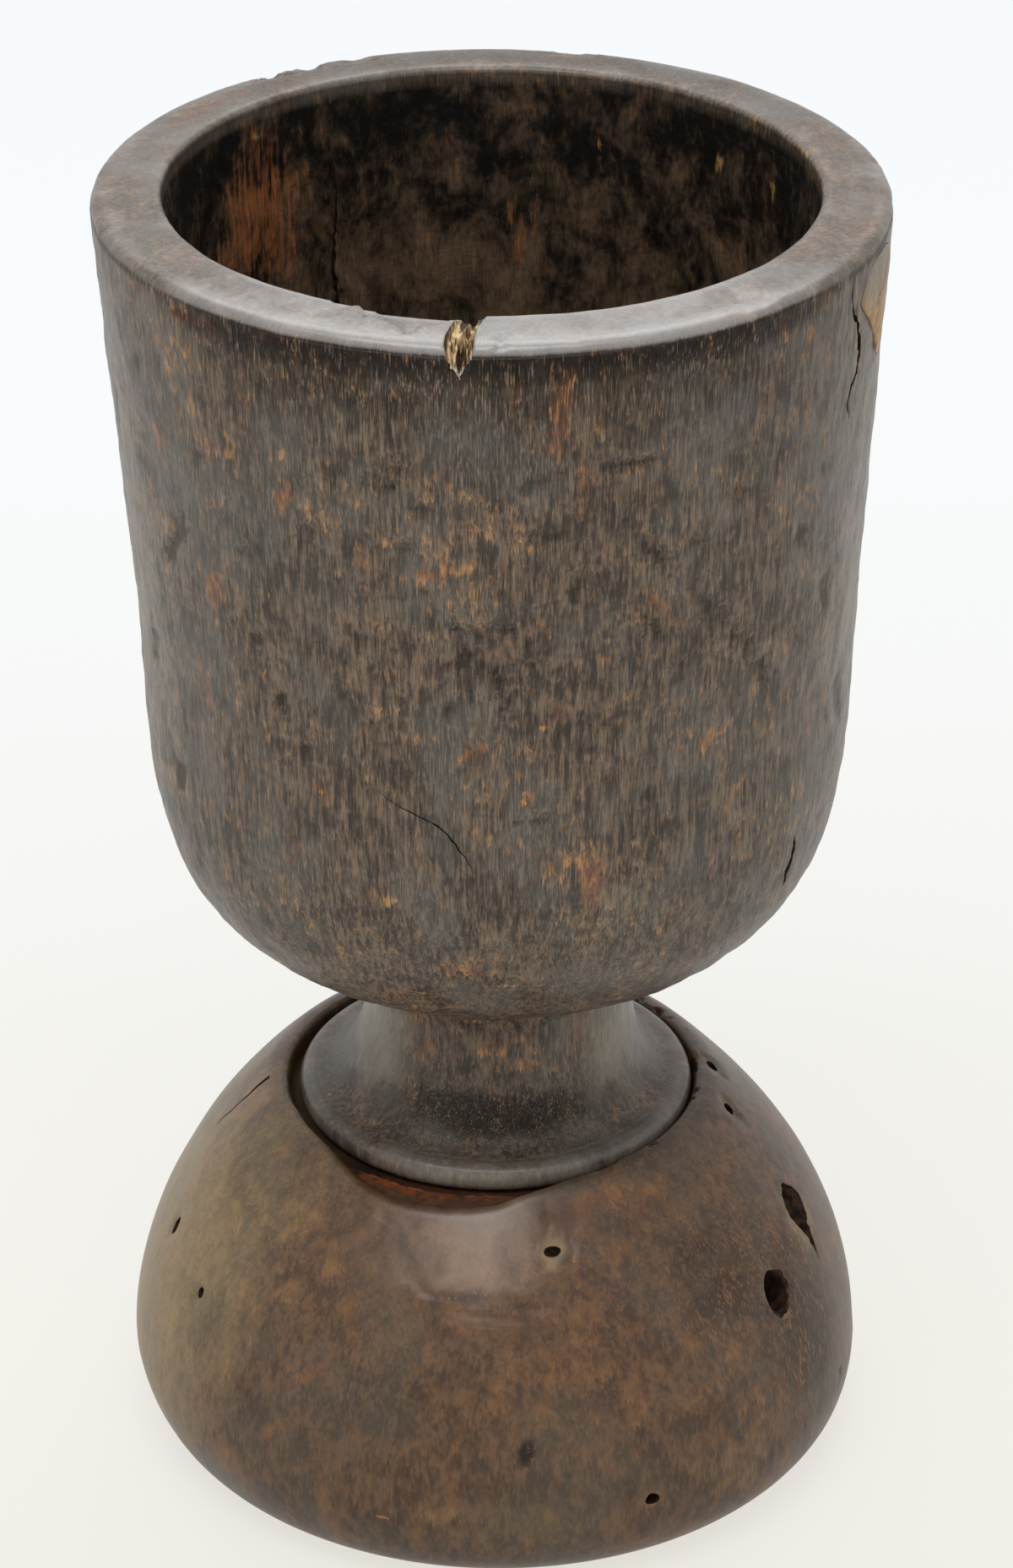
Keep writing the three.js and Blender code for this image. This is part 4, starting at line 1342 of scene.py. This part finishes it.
bowl, *bowlWhole = agedBlock("bowlBlock", bowlLine, bowlShape, bowlAge, bowlWood, wearBowl)
cutAway(bowl, [
    crackCutter("bowlCracks", bowlLine, bowlAge["cracks"], darkHole),
    crackCutter("bowlSeams", bowlLine, bowlAge["seams"], darkHole, inside=True),
    chipCutter(brokenWood),
    fillerCutter(bowlLine, brokenWood),
])
paintBlock(bowl.data, bowlDabs, bowlShade, bowlPolishAndSheen, bowlInside, *bowlWhole)
print("cup: bowl turned, aged and cut,", len(bowl.data.polygons), "faces")
foot, *footWhole = agedBlock("footBlock", footLine, footShape, footAge, footWood, wearFoot)
cutAway(foot, [
    boreCutter("wormHoles", footLine, footAge["holes"], darkHole, footAge["holeSeed"]),
    crackCutter("footCracks", footLine, footAge["cracks"], darkHole),
])
paintBlock(foot.data, footDabs, footShade, footPolishAndHighlight, footInside, *footWhole)
print("cup: foot turned, aged and cut,", len(foot.data.polygons), "faces")
plug = fillerPlug(bowlLine, fillerPaste)
splinters = rimSplinters(brokenWood)
print("cup: filler and splinters made,", len(splinters.data.polygons), "faces of splinters")

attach(bowl, "root")
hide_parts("bowl")
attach(foot, "root")
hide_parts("foot")
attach(plug, "root")
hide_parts("rim_filler")
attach(splinters, "root")

# The room: a pale table under one large overhead softbox, with a weaker light in front.
roomSettings = {
    "floorSize": 6.0, "floorGap": 0.00005, "floorTone": tone(236, 235, 231),
    "softboxAt": (0.0, 0.5, 1.1), "softboxAimedAt": (0, 0, 0.15), "softboxSize": (1.0, 0.8),
    "softboxWatts": 9.0, "softboxTint": (0.92, 0.96, 1.0),
    "frontAt": (-0.1, -0.38, 1.02), "frontAimedAt": (0, 0, 0.1), "frontSize": (0.75, 0.4),
    "frontWatts": 7.0, "frontTint": (0.95, 0.97, 1.0),
    "skyStrength": 0.68, "backdrop": tone(248, 250, 252), "glowBack": tone(243, 246, 249),
    "glowFront": tone(236, 233, 224), "glowFromTo": (-0.12, 0.5), "glowShare": 0.86,
}


# 1 for rays that see the background as it is: straight, in a reflection or through glass.
def seenRays(bench):
    straight = bench.node("ShaderNodeLightPath", output="Is Camera Ray")
    rays = straight.math("MAXIMUM", straight, straight.also("Is Glossy Ray"))
    return rays.math("MAXIMUM", rays, straight.also("Is Transmission Ray"))


def makeFloor():
    s = roomSettings
    half = s["floorSize"] / 2
    mesh = bpy.data.meshes.new("tableTop")
    low = -s["floorGap"]
    corners = [(-half, -half, low), (half, -half, low), (half, half, low), (-half, half, low)]
    mesh.from_pydata(corners, [], [(0, 1, 2, 3)])
    paint, bench = newMaterial("tableTop")
    skin = bench.node("ShaderNodeBsdfPrincipled", {}, {"Base Color": s["floorTone"], "Roughness": 0.9})
    place = bench.place()
    away = bench.rise(bench.axis(place, "Y"), *s["glowFromTo"])
    glow = bench.node("ShaderNodeEmission", {},
                      {"Color": bench.mix(away, s["glowFront"], s["glowBack"]), "Strength": 1.0})
    top = bench.node("ShaderNodeMixShader", {}, [seenRays(bench) * s["glowShare"], skin, glow])
    below = bench.node("ShaderNodeNewGeometry", {}, {}, "Backfacing")
    clear = bench.node("ShaderNodeBsdfTransparent")
    bench.node("ShaderNodeOutputMaterial", {},
               {"Surface": bench.node("ShaderNodeMixShader", {}, [below, top, clear])})
    mesh.materials.append(paint)
    top = newObject("tableTop", mesh)


def makeLight(name, spot, aim, size, watts, tint):
    lamp = bpy.data.lights.new(name, "AREA")
    lamp.shape = "RECTANGLE"
    lamp.size, lamp.size_y = size
    lamp.energy = watts
    lamp.color = tint
    thing = newObject(name, lamp)
    thing.location = spot
    thing.rotation_euler = (Vector(aim) - Vector(spot)).to_track_quat("-Z", "Y").to_euler()


def makeSky():
    s = roomSettings
    sky = bpy.data.worlds.new("studio")
    sky.use_nodes = True
    bench = Bench(sky.node_tree)
    rays = seenRays(bench)
    soft = bench.node("ShaderNodeBackground", {}, {"Color": (1, 1, 1, 1), "Strength": s["skyStrength"]})
    white = bench.node("ShaderNodeBackground", {}, {"Color": s["backdrop"], "Strength": 1.0})
    seen = bench.node("ShaderNodeMixShader", {}, [rays, soft, white])
    bench.node("ShaderNodeOutputWorld", {}, {"Surface": seen})
    bpy.context.scene.world = sky


makeFloor()
for lampName in ("softbox", "front"):
    lampParts = ("At", "AimedAt", "Size", "Watts", "Tint")
    makeLight(lampName, *(roomSettings[lampName + part] for part in lampParts))
makeSky()

cameraSettings = {"spot": (0, -0.7094, 0.5010), "tilt": 61.44, "lens": 116.3, "shiftX": 0.00754}


def makeCamera():
    s = cameraSettings
    eye = bpy.data.cameras.new("camera")
    eye.lens = s["lens"]
    eye.shift_x = s["shiftX"]
    eye.clip_start = 0.01
    thing = newObject("camera", eye)
    thing.location = s["spot"]
    thing.rotation_euler = (math.radians(s["tilt"]), 0, 0)
    bpy.context.scene.camera = thing


makeCamera()
bpy.context.scene.view_settings.view_transform = "Standard"

print("cup: room and camera set")
